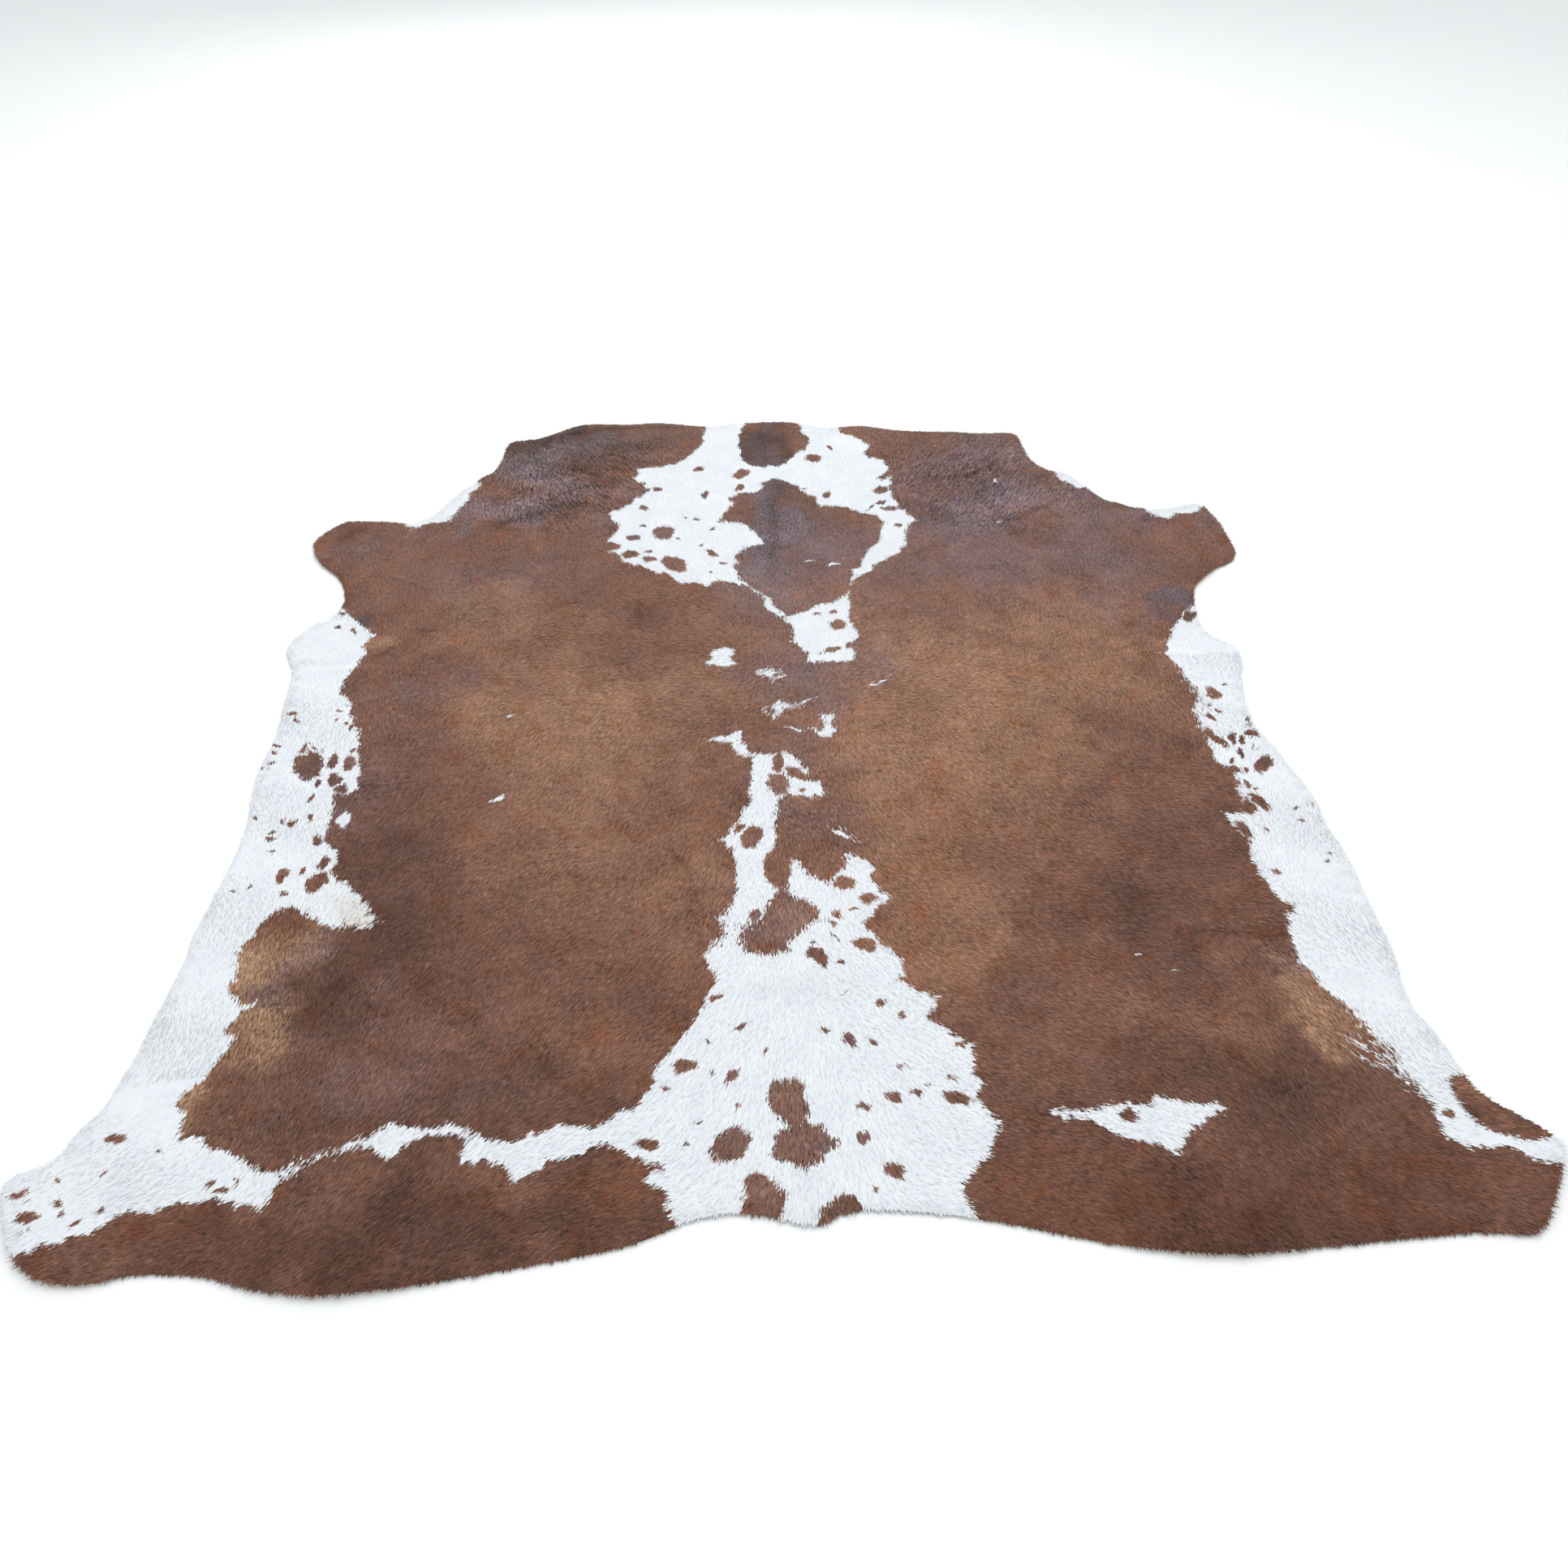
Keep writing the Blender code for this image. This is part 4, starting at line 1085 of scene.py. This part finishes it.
# The painted grey sheen: how fully it covers the hair where charted, and how streaks and
# clouds vary it, also where nothing is charted.
SHEEN_SHARE = 0.6
SHEEN_STREAKS = 0.6
SHEEN_CLOUDS = 1.6
SHEEN_ANYWHERE = 0.4

# Places without the painted grey sheen, and the hair's colour with the painted sheen and
# there.
SHEEN_GAP_SIZE = 0.05
SHEEN_GAP_EDGE = (-0.02, 0.20)
SHEEN_SATURATION = 0.96
SHEEN_GAP_SATURATION = 0.13
SHEEN_LIGHT = 1.02
SHEEN_GAP_SHADE = 0.06


def brown_coat(values, place, streaks, hue, sheen_mottle, rust):
    """Brown hair, from dark to ginger, with the tints of the charts, under a painted grey
    sheen that makes it paler and greyer. The painted sheen is left out in small ragged places,
    which show the redder hair."""
    tints = attribute(values, "tints", 0)
    ginger, dusk, tan = [
        values.node("ShaderNodeSeparateColor", {}, {"Color": tints}, part)
        for part in range(3)
    ]
    grey_sheen = attribute(values, "tints", 3)
    tone = TONE + ginger * GINGER_TONE - dusk * DUSK_TONE
    tone = tone + hue * HUE_TONE + streaks * STREAK_TONE
    coat = values.node(
        "ShaderNodeValToRGB",
        {"stops": ((0.0, DARK_HAIR), (0.5, BROWN_HAIR), (1.0, GINGER_HAIR))}, {0: tone},
    )
    coat = (rust * (RUST_SHARE + hue)).colour(coat, RUST_HAIR)
    sheen_gap = cloud(values, place, SHEEN_GAP_SIZE, detail=5.0).step(*SHEEN_GAP_EDGE)
    coat = values.node(
        "ShaderNodeHueSaturation", {},
        {"Saturation": SHEEN_SATURATION + sheen_gap * SHEEN_GAP_SATURATION, "Color": coat},
    ).shade(SHEEN_LIGHT - sheen_gap * SHEEN_GAP_SHADE)
    coat = (tan * (TAN_SHARE + streaks * TAN_STREAKS + hue)).colour(coat, TAN_HAIR)
    sheen_share = grey_sheen * (SHEEN_SHARE + streaks * SHEEN_STREAKS + sheen_mottle * SHEEN_CLOUDS)
    return (sheen_share + sheen_mottle * SHEEN_ANYWHERE).colour(coat, SHEEN_GREY)


# The painted cool shade of the white hair: the size of its clouds in metres, and how much of
# it the clouds and the streaks give.
WHITE_CLOUD = 0.05
WHITE_SHADE = 0.30
WHITE_CLOUDS = 0.8
WHITE_STREAKS = 0.9
CREAM_SHARE = 0.7


def white_coat(values, place, streaks, cream):
    """White hair with painted cool shade in soft clouds and along its streaks, creamier where
    it thins.
    """
    shade = WHITE_SHADE + cloud(values, place, WHITE_CLOUD) * WHITE_CLOUDS
    coat = (shade - streaks * WHITE_STREAKS).colour(WHITE_HAIR, SHADED_WHITE)
    return (cream * (CREAM_SHARE + streaks)).colour(coat, CREAM_HAIR)


def finish_material(values, settings):
    """Sets the Principled shader's sockets by name, as numbers or links."""
    shader = values.tree.nodes["Principled BSDF"]
    for name, value in settings.items():
        if isinstance(value, Value):
            values.tree.links.new(value.socket, shader.inputs[name])
        else:
            shader.inputs[name].default_value = value


def new_material(name):
    material = bpy.data.materials.new(name)
    material.use_nodes = True
    return material, Value(material.node_tree)


# How strongly the hair's streaks, clumps, clouds, wrinkles and charted lines shade it; the
# wrinkles' darkening and much of the lines' is painted shade. The second of a pair counts
# where the hair is ruffled.
BROWN_LIGHT = 1.03
STREAK_SHADE = (2.6, 2.4)
CLUMP_SHADE = 2.6
CLOUD_SHADE = (1.2, 0.6)
WRINKLE_SHADE = 0.18
LINE_SHADE = 0.7
LINE_RUST = 0.5
LINE_ON_WHITE = 0.15
HAIR_GLOSS = {"Specular IOR Level": 0.2, "Sheen Weight": 0.06, "Sheen Roughness": 0.4}

Coats = namedtuple("Coats", "brown white ruffle clumps light wrinkles")


def both_coats(values, place, streaks, white_streaks, streak_shade):
    """The brown hair and the white hair as they look there, with what shaped them."""
    cream = split(values, attribute(values, "coat", 1))[0]
    # The lines darken the hair partly as darker hair and partly as painted shade in the folds,
    # and lighten it as painted light below 0.
    shade_and_dark, rust, ruffle = split(values, attribute(values, "marks", 1))
    clumps = hair_streaks(values, place, CLUMP_SIZE) * ruffle
    light, hue, sheen_mottle = mottle(values, place)
    # The wrinkles darken the brown as painted shade in them, as well as giving it relief.
    wrinkles = cross_wrinkles(values, place)
    lightness = (
        BROWN_LIGHT + streaks * (streak_shade[0] + ruffle * streak_shade[1])
        + clumps * CLUMP_SHADE + light * (CLOUD_SHADE[0] + ruffle * CLOUD_SHADE[1])
        - wrinkles * WRINKLE_SHADE - shade_and_dark * LINE_SHADE
    )
    brown = brown_coat(values, place, streaks, hue, sheen_mottle, rust + shade_and_dark * LINE_RUST)
    white = white_coat(values, place, white_streaks, cream)
    return Coats(
        brown.shade(lightness), white.shade(1.0 - shade_and_dark * LINE_ON_WHITE),
        ruffle, clumps, light, wrinkles,
    )


# The suede's nap, scuffs and patches: their sizes in metres, and how they shade it.
NAP_SIZE = 0.004
SCUFF_SIZE = 0.03
SUEDE_PATCH_SIZE = 0.32
SUEDE_SHADE = 0.42
NAP_SHADE = 1.4
SCUFF_SHADE = 0.7
SUEDE_PATCH_SHADE = 2.2


def suede_colour(values, place, nap):
    """The bare skin under the hide and at its cut edge."""
    patches = cloud(values, place, SUEDE_PATCH_SIZE, detail=4.0) * SUEDE_PATCH_SHADE
    scuffs = cloud(values, place, SCUFF_SIZE) * SCUFF_SHADE
    shade = SUEDE_SHADE + nap * NAP_SHADE + patches + scuffs
    return shade.colour(SUEDE, SHADED_SUEDE)


# The fine relief, as shares of its depth in metres. White hair lies flatter.
RELIEF_DEPTH = 0.0016
RELIEF_STRENGTH = 0.8
CLUMP_RELIEF = 4.0
CLOUD_RELIEF = 0.6
WRINKLE_RELIEF = 0.12
NAP_RELIEF = 0.5
FLATTER_WHITE = 0.72

# The share of hair on skin from which the skin is covered, and how rough each is.
COVERED = (0.3, 0.45)
SUEDE_ROUGHNESS = 0.86
HAIR_SMOOTHER = 0.26
STREAK_ROUGHNESS = 0.3


def hide_material():
    """Hair on top, down to a little below the hair side's rim, and suede elsewhere."""
    material, values = new_material("hair_on_hide")
    place = values.node("ShaderNodeTexCoord", {}, {}, out=3)
    _, roan, hair = split(values, attribute(values, "coat", 1))
    streaks = hair_streaks(values, place, STREAK_SIZE)
    coats = both_coats(values, place, streaks, streaks, STREAK_SHADE)
    is_white = white_share(values, streaks, roan)
    covered = hair.step(*COVERED)
    nap = cloud(values, place, NAP_SIZE, detail=4.0)
    relief = (
        streaks * (1.0 + coats.ruffle) + coats.clumps * CLUMP_RELIEF
        + coats.light * CLOUD_RELIEF - coats.wrinkles * WRINKLE_RELIEF
    )
    relief = relief * (1.0 - is_white * FLATTER_WHITE)
    height = relief * covered + nap * (1.0 - covered) * NAP_RELIEF
    normal = values.node(
        "ShaderNodeBump", {},
        {"Height": height, "Strength": RELIEF_STRENGTH, "Distance": RELIEF_DEPTH},
    )
    coat = is_white.colour(coats.brown, coats.white)
    finish_material(values, {
        "Base Color": covered.colour(suede_colour(values, place, nap), coat),
        "Roughness": SUEDE_ROUGHNESS - covered * HAIR_SMOOTHER + streaks * STREAK_ROUGHNESS,
        "Normal": normal,
        **HAIR_GLOSS,
    })
    return material


def shade_and_place(mesh, name, material):
    """Smooths the mesh's shading and stands it in the scene under a name."""
    mesh.materials.append(material)
    mesh.shade_smooth()
    piece = bpy.data.objects.new(name, mesh)
    bpy.context.scene.collection.objects.link(piece)
    return piece


# Shares of the map: a metre of the hide, the margin, the fold of the cut edge, and the
# strip of the underside.
BAKE_SCALE = 0.45
BAKE_MARGIN = 0.003
BAKE_FOLD = 0.002
BAKE_STRIP = (0.922, 0.995)
STRIP_ALONG = (0.005, 0.995)


def add_bake_map(mesh, places):
    """Gives the mesh a flat map for its colours, a place for each corner of its faces."""
    layer = mesh.uv_layers.new(name="OFBake")
    layer.uv.foreach_set("vector", places.astype(np.float32).ravel())


def lay_out_hide(mesh, on_top):
    """The hair side lies flat in most of the map, with the cut edge folded out round
    it, and the underside goes in a strip beside it."""
    points = points_of(mesh)
    corner = np.empty(len(mesh.loops), np.int32)
    mesh.loops.foreach_get("vertex_index", corner)
    face = np.repeat(np.arange(len(mesh.polygons)), 3)
    normals = np.empty(len(mesh.polygons) * 3, np.float32)
    mesh.polygons.foreach_get("normal", normals)
    normals = normals.reshape(-1, 3)
    low, high = points[:, :2].min(0), points[:, :2].max(0)
    flat = (points[corner, :2] - low) * BAKE_SCALE + BAKE_MARGIN
    wall = np.abs(normals[face, 2]) < FACES_UP
    folded = wall & (on_top[corner] < 0.5)
    flat[folded] += normals[face[folded], :2] * BAKE_FOLD
    under = normals[face, 2] < -FACES_UP
    share = (points[corner, :2] - low) / (high - low)
    for axis, (strip_start, strip_end) in enumerate((BAKE_STRIP, STRIP_ALONG)):
        flat[under, axis] = strip_start + (strip_end - strip_start) * share[under, axis]
    add_bake_map(mesh, flat)


lay_out_hide(hide_mesh, hair_share)
hide = shade_and_place(hide_mesh, "cow_hide", hide_material())
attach(hide, "root")
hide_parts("hide")


# ---------------------------------------------------------------------------
# The rim's hair: short locks of the hide's own hair that grow out past the cut edge
# all round and hang over it. Each lies between the coat's lay and straight outward.

# In metres. A pair is the range that each lock draws from. The widths are shares of the
# width, the spread is in radians, and the locks are longer on the neck.
RIM_STEP = 0.0020
RIM_ROWS = 3
RIM_INSET = (0.0015, 0.0075)
RIM_LENGTH = (0.0055, 0.0105)
RIM_NECK_FROM = 0.55
RIM_NECK_LENGTH = 1.45
RIM_WIDTH = 0.0019
RIM_WIDTHS = (0.75, 1.2)
RIM_LEAN = 0.9
RIM_SPREAD = 0.22
RIM_SINK = -0.0004
RIM_MIDDLE_RISE = (-0.0002, 0.0009)
RIM_TIP_RISE = (-0.0045, -0.0012)
LOCK_THICK = 0.0006
OVER_FLOOR = 0.0004
ROUNDNESS = 0.45
STRAND_SPREAD = 0.11
HAIR_SEED = 11

hair_random = np.random.default_rng(HAIR_SEED)
hair_surface = BVHTree.FromPolygons(
    [tuple(point) for point in hide_points],
    [tuple(polygon.vertices) for polygon in hide_mesh.polygons if is_hair_side(polygon)],
)


def stand_on_hair(places):
    """The places that lie over the hair side, which of them these are, and the way
    that the hair side faces there."""
    down = Vector((0.0, 0.0, -1.0))
    kept, tops, facing = [], [], []
    for index, (x, y) in enumerate(places.tolist()):
        hit, normal = hair_surface.ray_cast(Vector((x, y, LOOK_FROM)), down)[:2]
        if hit is not None:
            kept.append(index)
            tops.append(hit)
            facing.append(normal)
    return np.array(tops), np.array(kept), np.array(facing)


def rim_places(step):
    """Evenly spaced places along the cut edge, and the way out of the hide at each."""
    cut = flat_cut()
    loop = max(cut.faces, key=lambda face: face.calc_area())
    corners = np.array([vert.co.xy for vert in loop.verts])
    cut.free()
    runs = np.roll(corners, -1, axis=0) - corners
    lengths = np.hypot(runs[:, 0], runs[:, 1])
    reach = np.concatenate([[0.0], np.cumsum(lengths)])
    stops = np.arange(0.0, reach[-1], step)
    row = np.searchsorted(reach, stops, side="right") - 1
    share = ((stops - reach[row]) / lengths[row])[:, None]
    places = corners[row] + runs[row] * share
    turn = 1.0 if signed_area(corners) > 0 else -1.0
    outward = np.stack([runs[row, 1], -runs[row, 0]], 1) / lengths[row][:, None] * turn
    return places, outward


def signed_area(corners):
    """The area inside a loop: above 0 where the loop runs to the left."""
    after = np.roll(corners, -1, axis=0)
    return np.sum(corners[:, 0] * after[:, 1] - corners[:, 1] * after[:, 0]) / 2


def unit(arrows):
    return arrows / np.hypot(arrows[:, 0], arrows[:, 1])[:, None]


def turned(arrows, angles):
    """The arrows, each turned by its own angle."""
    cosines, sines = np.cos(angles), np.sin(angles)
    return np.stack(
        [arrows[:, 0] * cosines - arrows[:, 1] * sines,
         arrows[:, 0] * sines + arrows[:, 1] * cosines], 1
    )


def lay_arrows(roots):
    """The way that the hair lies at each root, or its opposite."""
    turn = lay_angle(*chart_places(roots)) + math.pi / 2
    return np.stack([np.cos(turn), np.sin(turn)], 1)


# How far a lock of one colour strays into the other, in centimetres.
STRAY = 0.08
ROAN_STRAY = 0.75


def is_white(across, along):
    """Whether the hair is white there, from the patches and the spots."""
    depth = patch_depth(across, along)
    place, mark = nearest_spot(across, along)
    inside = spot_depth(place)
    white_spot = mark[:, 2] > 0.5
    depth = np.where(white_spot, np.maximum(depth, inside), np.minimum(depth, -inside))
    stray = hair_random.normal(0.0, 1.0, len(depth))
    return depth + stray * (STRAY + ROAN_STRAY * tint_at(ROAN, across, along)) > 0.0


# Where a lock's left and right side and its ridge lie in its own cell of the map. Along
# the cell the lock runs from the start by the run, with the ridge a little ahead.
MAP_SIDES = (0.06, 0.94, 0.5)
MAP_START = 0.05
MAP_RUN = 0.9
MAP_AHEAD = (0.0, 0.0, 0.07)
MAP_TIP = (0.5, 0.97)


def grow_locks(name, roots, facing, heading, length, width, stations, tip_rise):
    """One mesh of many closed three-sided locks. A station is its share of the length
    and its rise. Each lock narrows from its last station to its tip. The locks catch
    the light as the hair side under them does."""
    count, rings = len(roots), len(stations)
    side = np.stack([-heading[:, 1], heading[:, 0], np.zeros(count)], 1)
    ahead = np.concatenate([heading, np.zeros((count, 1))], 1)
    up = np.array([0.0, 0.0, 1.0])
    points = np.empty((count, rings * 3 + 1, 3))
    for ring, (share, rise) in enumerate(stations):
        middle = roots + ahead * (length * share)[:, None] + up * rise[:, None]
        half = side * (width / 2)[:, None]
        points[:, ring * 3] = middle + half - up * LOCK_THICK / 2
        points[:, ring * 3 + 1] = middle - half - up * LOCK_THICK / 2
        points[:, ring * 3 + 2] = middle + up * LOCK_THICK / 2
    points[:, -1] = roots + ahead * length[:, None] + up * tip_rise[:, None]
    points[:, :, 2] = np.maximum(points[:, :, 2], OVER_FLOOR)

    tip = rings * 3
    faces = [(0, 1, 2)]
    for ring in range(0, tip - 3, 3):
        left, right, top = ring, ring + 1, ring + 2
        faces += [
            (left, top, top + 3), (left, top + 3, left + 3),
            (right, right + 3, top + 3), (right, top + 3, top),
            (left, left + 3, right + 3), (left, right + 3, right),
        ]
    left, right, top = tip - 3, tip - 2, tip - 1
    faces += [(left, top, tip), (right, tip, top), (left, tip, right)]
    corner = np.array(faces)
    rows = (np.arange(count)[:, None, None] * (tip + 1) + corner).reshape(-1, 3)
    mesh = bpy.data.meshes.new(name)
    mesh.from_pydata(points.reshape(-1, 3), [], rows)
    mesh.shade_smooth()
    lean = np.array([ROUNDNESS, -ROUNDNESS, 0.0] * rings + [0.0])
    normals = facing[:, None, :] + side[:, None, :] * lean[:, None]
    normals /= np.linalg.norm(normals, axis=2)[:, :, None]
    mesh.normals_split_custom_set_from_vertices(normals.reshape(-1, 3))

    cells = math.ceil(math.sqrt(count))
    cell = np.stack([np.arange(count) % cells, np.arange(count) // cells], 1)
    in_cell = [
        (side_place, MAP_START + MAP_RUN * share + ahead_by)
        for share, _ in stations for side_place, ahead_by in zip(MAP_SIDES, MAP_AHEAD)
    ]
    in_cell = np.array(in_cell + [MAP_TIP])[corner.ravel()]
    add_bake_map(mesh, ((cell[:, None, :] + in_cell[None]) / cells).reshape(-1, 2))
    return mesh


def paint_locks(mesh, middles):
    """Gives every lock the hair's colours at its middle, and its own lighter or darker
    shade."""
    count = len(middles)
    across, along = chart_places(middles)
    charts = {"white": is_white(across, along).astype(float)}
    charts["strand"] = hair_random.normal(0.0, STRAND_SPREAD, count)
    charts.update(hair_charts(across, along, np.ones(count)))
    for name, chart in charts.items():
        paint(mesh, name, np.repeat(chart, len(mesh.vertices) // count, axis=0))


# How strongly a lock's own shade counts, beside a streak's in the hide.
LOCK_SHADE = (2.2, 2.0)
LOCK_WHITE_SHADE = 0.6
LOCK_ROUGHNESS = 0.58
STRAND_ROUGHNESS = 0.4


def lock_material(name):
    """Hair in locks of one shade each, with the same coats as the hide under them."""
    material, values = new_material(name)
    place = values.node("ShaderNodeTexCoord", {}, {}, out=3)
    strand = attribute(values, "strand", 2)
    coats = both_coats(values, place, strand, strand * LOCK_WHITE_SHADE, LOCK_SHADE)
    finish_material(values, {
        "Base Color": attribute(values, "white", 2).colour(coats.brown, coats.white),
        "Roughness": LOCK_ROUGHNESS + strand * STRAND_ROUGHNESS,
        **HAIR_GLOSS,
    })
    return material


def uniform(span, count):
    """A number in the span for each of so many locks."""
    return hair_random.uniform(span[0], span[1], count)


rim_places_flat, rim_outward = rim_places(RIM_STEP / RIM_ROWS)
rim_count = len(rim_places_flat)
rim_roots, rim_kept, rim_facing = stand_on_hair(
    rim_places_flat - rim_outward * uniform(RIM_INSET, rim_count)[:, None]
)
rim_outward = rim_outward[rim_kept]
rim_count = len(rim_roots)
rim_lay = lay_arrows(rim_roots)
rim_lay *= np.where(np.sum(rim_lay * rim_outward, 1) < 0.0, -1.0, 1.0)[:, None]
rim_heading = turned(
    unit(rim_lay + rim_outward * RIM_LEAN), hair_random.normal(0.0, RIM_SPREAD, rim_count)
)
rim_length = uniform(RIM_LENGTH, rim_count)
rim_length *= np.where(rim_roots[:, 1] > RIM_NECK_FROM, RIM_NECK_LENGTH, 1.0)
rim_width = RIM_WIDTH * uniform(RIM_WIDTHS, rim_count)
rim_stations = (
    (0.0, np.full(rim_count, RIM_SINK)),
    (0.5, uniform(RIM_MIDDLE_RISE, rim_count)),
)
rim_mesh = grow_locks(
    "rim_hair", rim_roots, rim_facing, rim_heading, rim_length, rim_width,
    rim_stations, uniform(RIM_TIP_RISE, rim_count),
)
paint_locks(rim_mesh, rim_roots)
rim_hair = shade_and_place(rim_mesh, "rim_hair", lock_material("rim_hair"))
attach(rim_hair, "root")
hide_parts("hide")


# ---------------------------------------------------------------------------
# The coat: the hide's own short hair, which lies flat along its lay. Its coarser locks
# stand out of the hair side in three layers over each other, each layer one mesh.

COAT_LAYERS = ("coat_low", "coat_middle", "coat_high")

# In metres, apart from the parting, which is in the charts' centimetres. Shares and the
# spread are as for the rim's hair.
COAT_STEP = 0.0051
COAT_LENGTH = (0.0095, 0.0165)
COAT_WIDTH = 0.0019
COAT_WIDTHS = (0.7, 1.2)
COAT_SINK = -0.0001
COAT_TIP_RISE = (0.0003, 0.0012)
COAT_SPREAD = 0.16
COAT_PARTS_AT = 10.0
COAT_ONWARD = 0.5
COAT_COLOUR_AT = 0.38
COAT_BAND = 0.02

hide_from, hide_to = hide_points[:, :2].min(0), hide_points[:, :2].max(0)
coat_lines = [np.arange(low, high, COAT_STEP) for low, high in zip(hide_from, hide_to)]
coat_grid = np.stack(np.meshgrid(*coat_lines), -1).reshape(-1, 2)
coat_grid += hair_random.uniform(-0.5, 0.5, coat_grid.shape) * COAT_STEP
coat_roots, _, coat_facing = stand_on_hair(hair_random.permutation(coat_grid))


def coat_heading(roots):
    """The way that the coat's hair points: from its parting outward to each side, and
    to the neck before the parting and to the tail behind it."""
    across, along = chart_places(roots)
    onward = np.stack([np.sign(across), COAT_ONWARD * np.sign(along - COAT_PARTS_AT)], 1)
    lay = lay_arrows(roots)
    lay *= np.where(np.sum(lay * onward, 1) < 0.0, -1.0, 1.0)[:, None]
    return turned(lay, hair_random.normal(0.0, COAT_SPREAD, len(roots)))


def coat_layer(name, roots, facing):
    """One layer of the coat's locks, in the order of the bands that they grow in."""
    order = np.lexsort((roots[:, 0], roots[:, 1] // COAT_BAND))
    roots, facing = roots[order], facing[order]
    count = len(roots)
    heading, length = coat_heading(roots), uniform(COAT_LENGTH, count)
    mesh = grow_locks(
        name, roots, facing, heading, length, COAT_WIDTH * uniform(COAT_WIDTHS, count),
        ((0.0, np.full(count, COAT_SINK)),), uniform(COAT_TIP_RISE, count),
    )
    coloured_at = roots.copy()
    coloured_at[:, :2] += heading * length[:, None] * COAT_COLOUR_AT
    paint_locks(mesh, coloured_at)
    piece = shade_and_place(mesh, name, lock_material(name))
    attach(piece, "root")
    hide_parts("hide")
    return piece


layer_count = len(COAT_LAYERS)
layer_pieces = [
    coat_layer(name, coat_roots[layer::layer_count], coat_facing[layer::layer_count])
    for layer, name in enumerate(COAT_LAYERS)
]


# ---------------------------------------------------------------------------
# The floor under the rug, the light and the camera, which stands at a person's eye
# height behind the rump and looks down toward the neck.

# Turns in degrees, and the lens and its sensor in millimetres.
CAMERA_PITCH = 46.67
CAMERA_YAW = -1.9
CAMERA_LENS = 28.465
SENSOR = 36.0

FLOOR_HALF = 6.0
FLOOR_CLOUD = 0.4
FLOOR_ROUGHNESS = 0.8
FLOOR_PALE = srgb(250, 250, 249)
FLOOR_SHADE = srgb(246, 247, 247)

floor_form = bmesh.new()
bmesh.ops.create_grid(floor_form, x_segments=2, y_segments=2, size=FLOOR_HALF)
floor_mesh = bpy.data.meshes.new("floor")
floor_form.to_mesh(floor_mesh)
floor_form.free()
floor_material, floor_values = new_material("pale_floor")
floor_place = floor_values.node("ShaderNodeTexCoord", {}, {}, out=3)
floor_cloud = cloud(floor_values, floor_place, FLOOR_CLOUD)
finish_material(floor_values, {
    "Base Color": (0.5 + floor_cloud).colour(FLOOR_PALE, FLOOR_SHADE),
    "Roughness": FLOOR_ROUGHNESS,
})
floor = shade_and_place(floor_mesh, "floor", floor_material)


# Square soft lights over the rug and behind its neck, which point at its middle.
SoftLight = namedtuple("SoftLight", "name place size power")
SOFT_LIGHTS = (
    SoftLight("top_light", (0.4, 0.6, 4.6), 6.0, 125.0),
    SoftLight("back_light", (-0.6, 4.8, 2.4), 3.0, 34.0),
)
AIR_COLOUR = (0.95, 0.98, 1.0, 1.0)
AIR_LIGHT = 0.80


def add_soft_light(soft_light):
    light = bpy.data.lights.new(soft_light.name, "AREA")
    light.size = soft_light.size
    light.energy = soft_light.power
    lamp = bpy.data.objects.new(soft_light.name, light)
    lamp.location = soft_light.place
    x, y, z = soft_light.place
    tilt = math.atan2(math.hypot(x, y), z)
    lamp.rotation_euler = (tilt, 0.0, math.atan2(-y, -x) - math.pi / 2)
    bpy.context.scene.collection.objects.link(lamp)


for soft_light in SOFT_LIGHTS:
    add_soft_light(soft_light)

world = bpy.data.worlds.new("studio")
world.use_nodes = True
air = world.node_tree.nodes["Background"]
air.inputs["Color"].default_value = AIR_COLOUR
air.inputs["Strength"].default_value = AIR_LIGHT
bpy.context.scene.world = world
bpy.context.scene.view_settings.view_transform = "Standard"

camera_data = bpy.data.cameras.new("camera")
camera_data.lens = CAMERA_LENS
camera_data.sensor_width = SENSOR
camera = bpy.data.objects.new("camera", camera_data)
camera.location = EYE
camera.rotation_euler = (math.radians(CAMERA_PITCH), 0.0, math.radians(CAMERA_YAW))
bpy.context.scene.collection.objects.link(camera)
bpy.context.scene.camera = camera
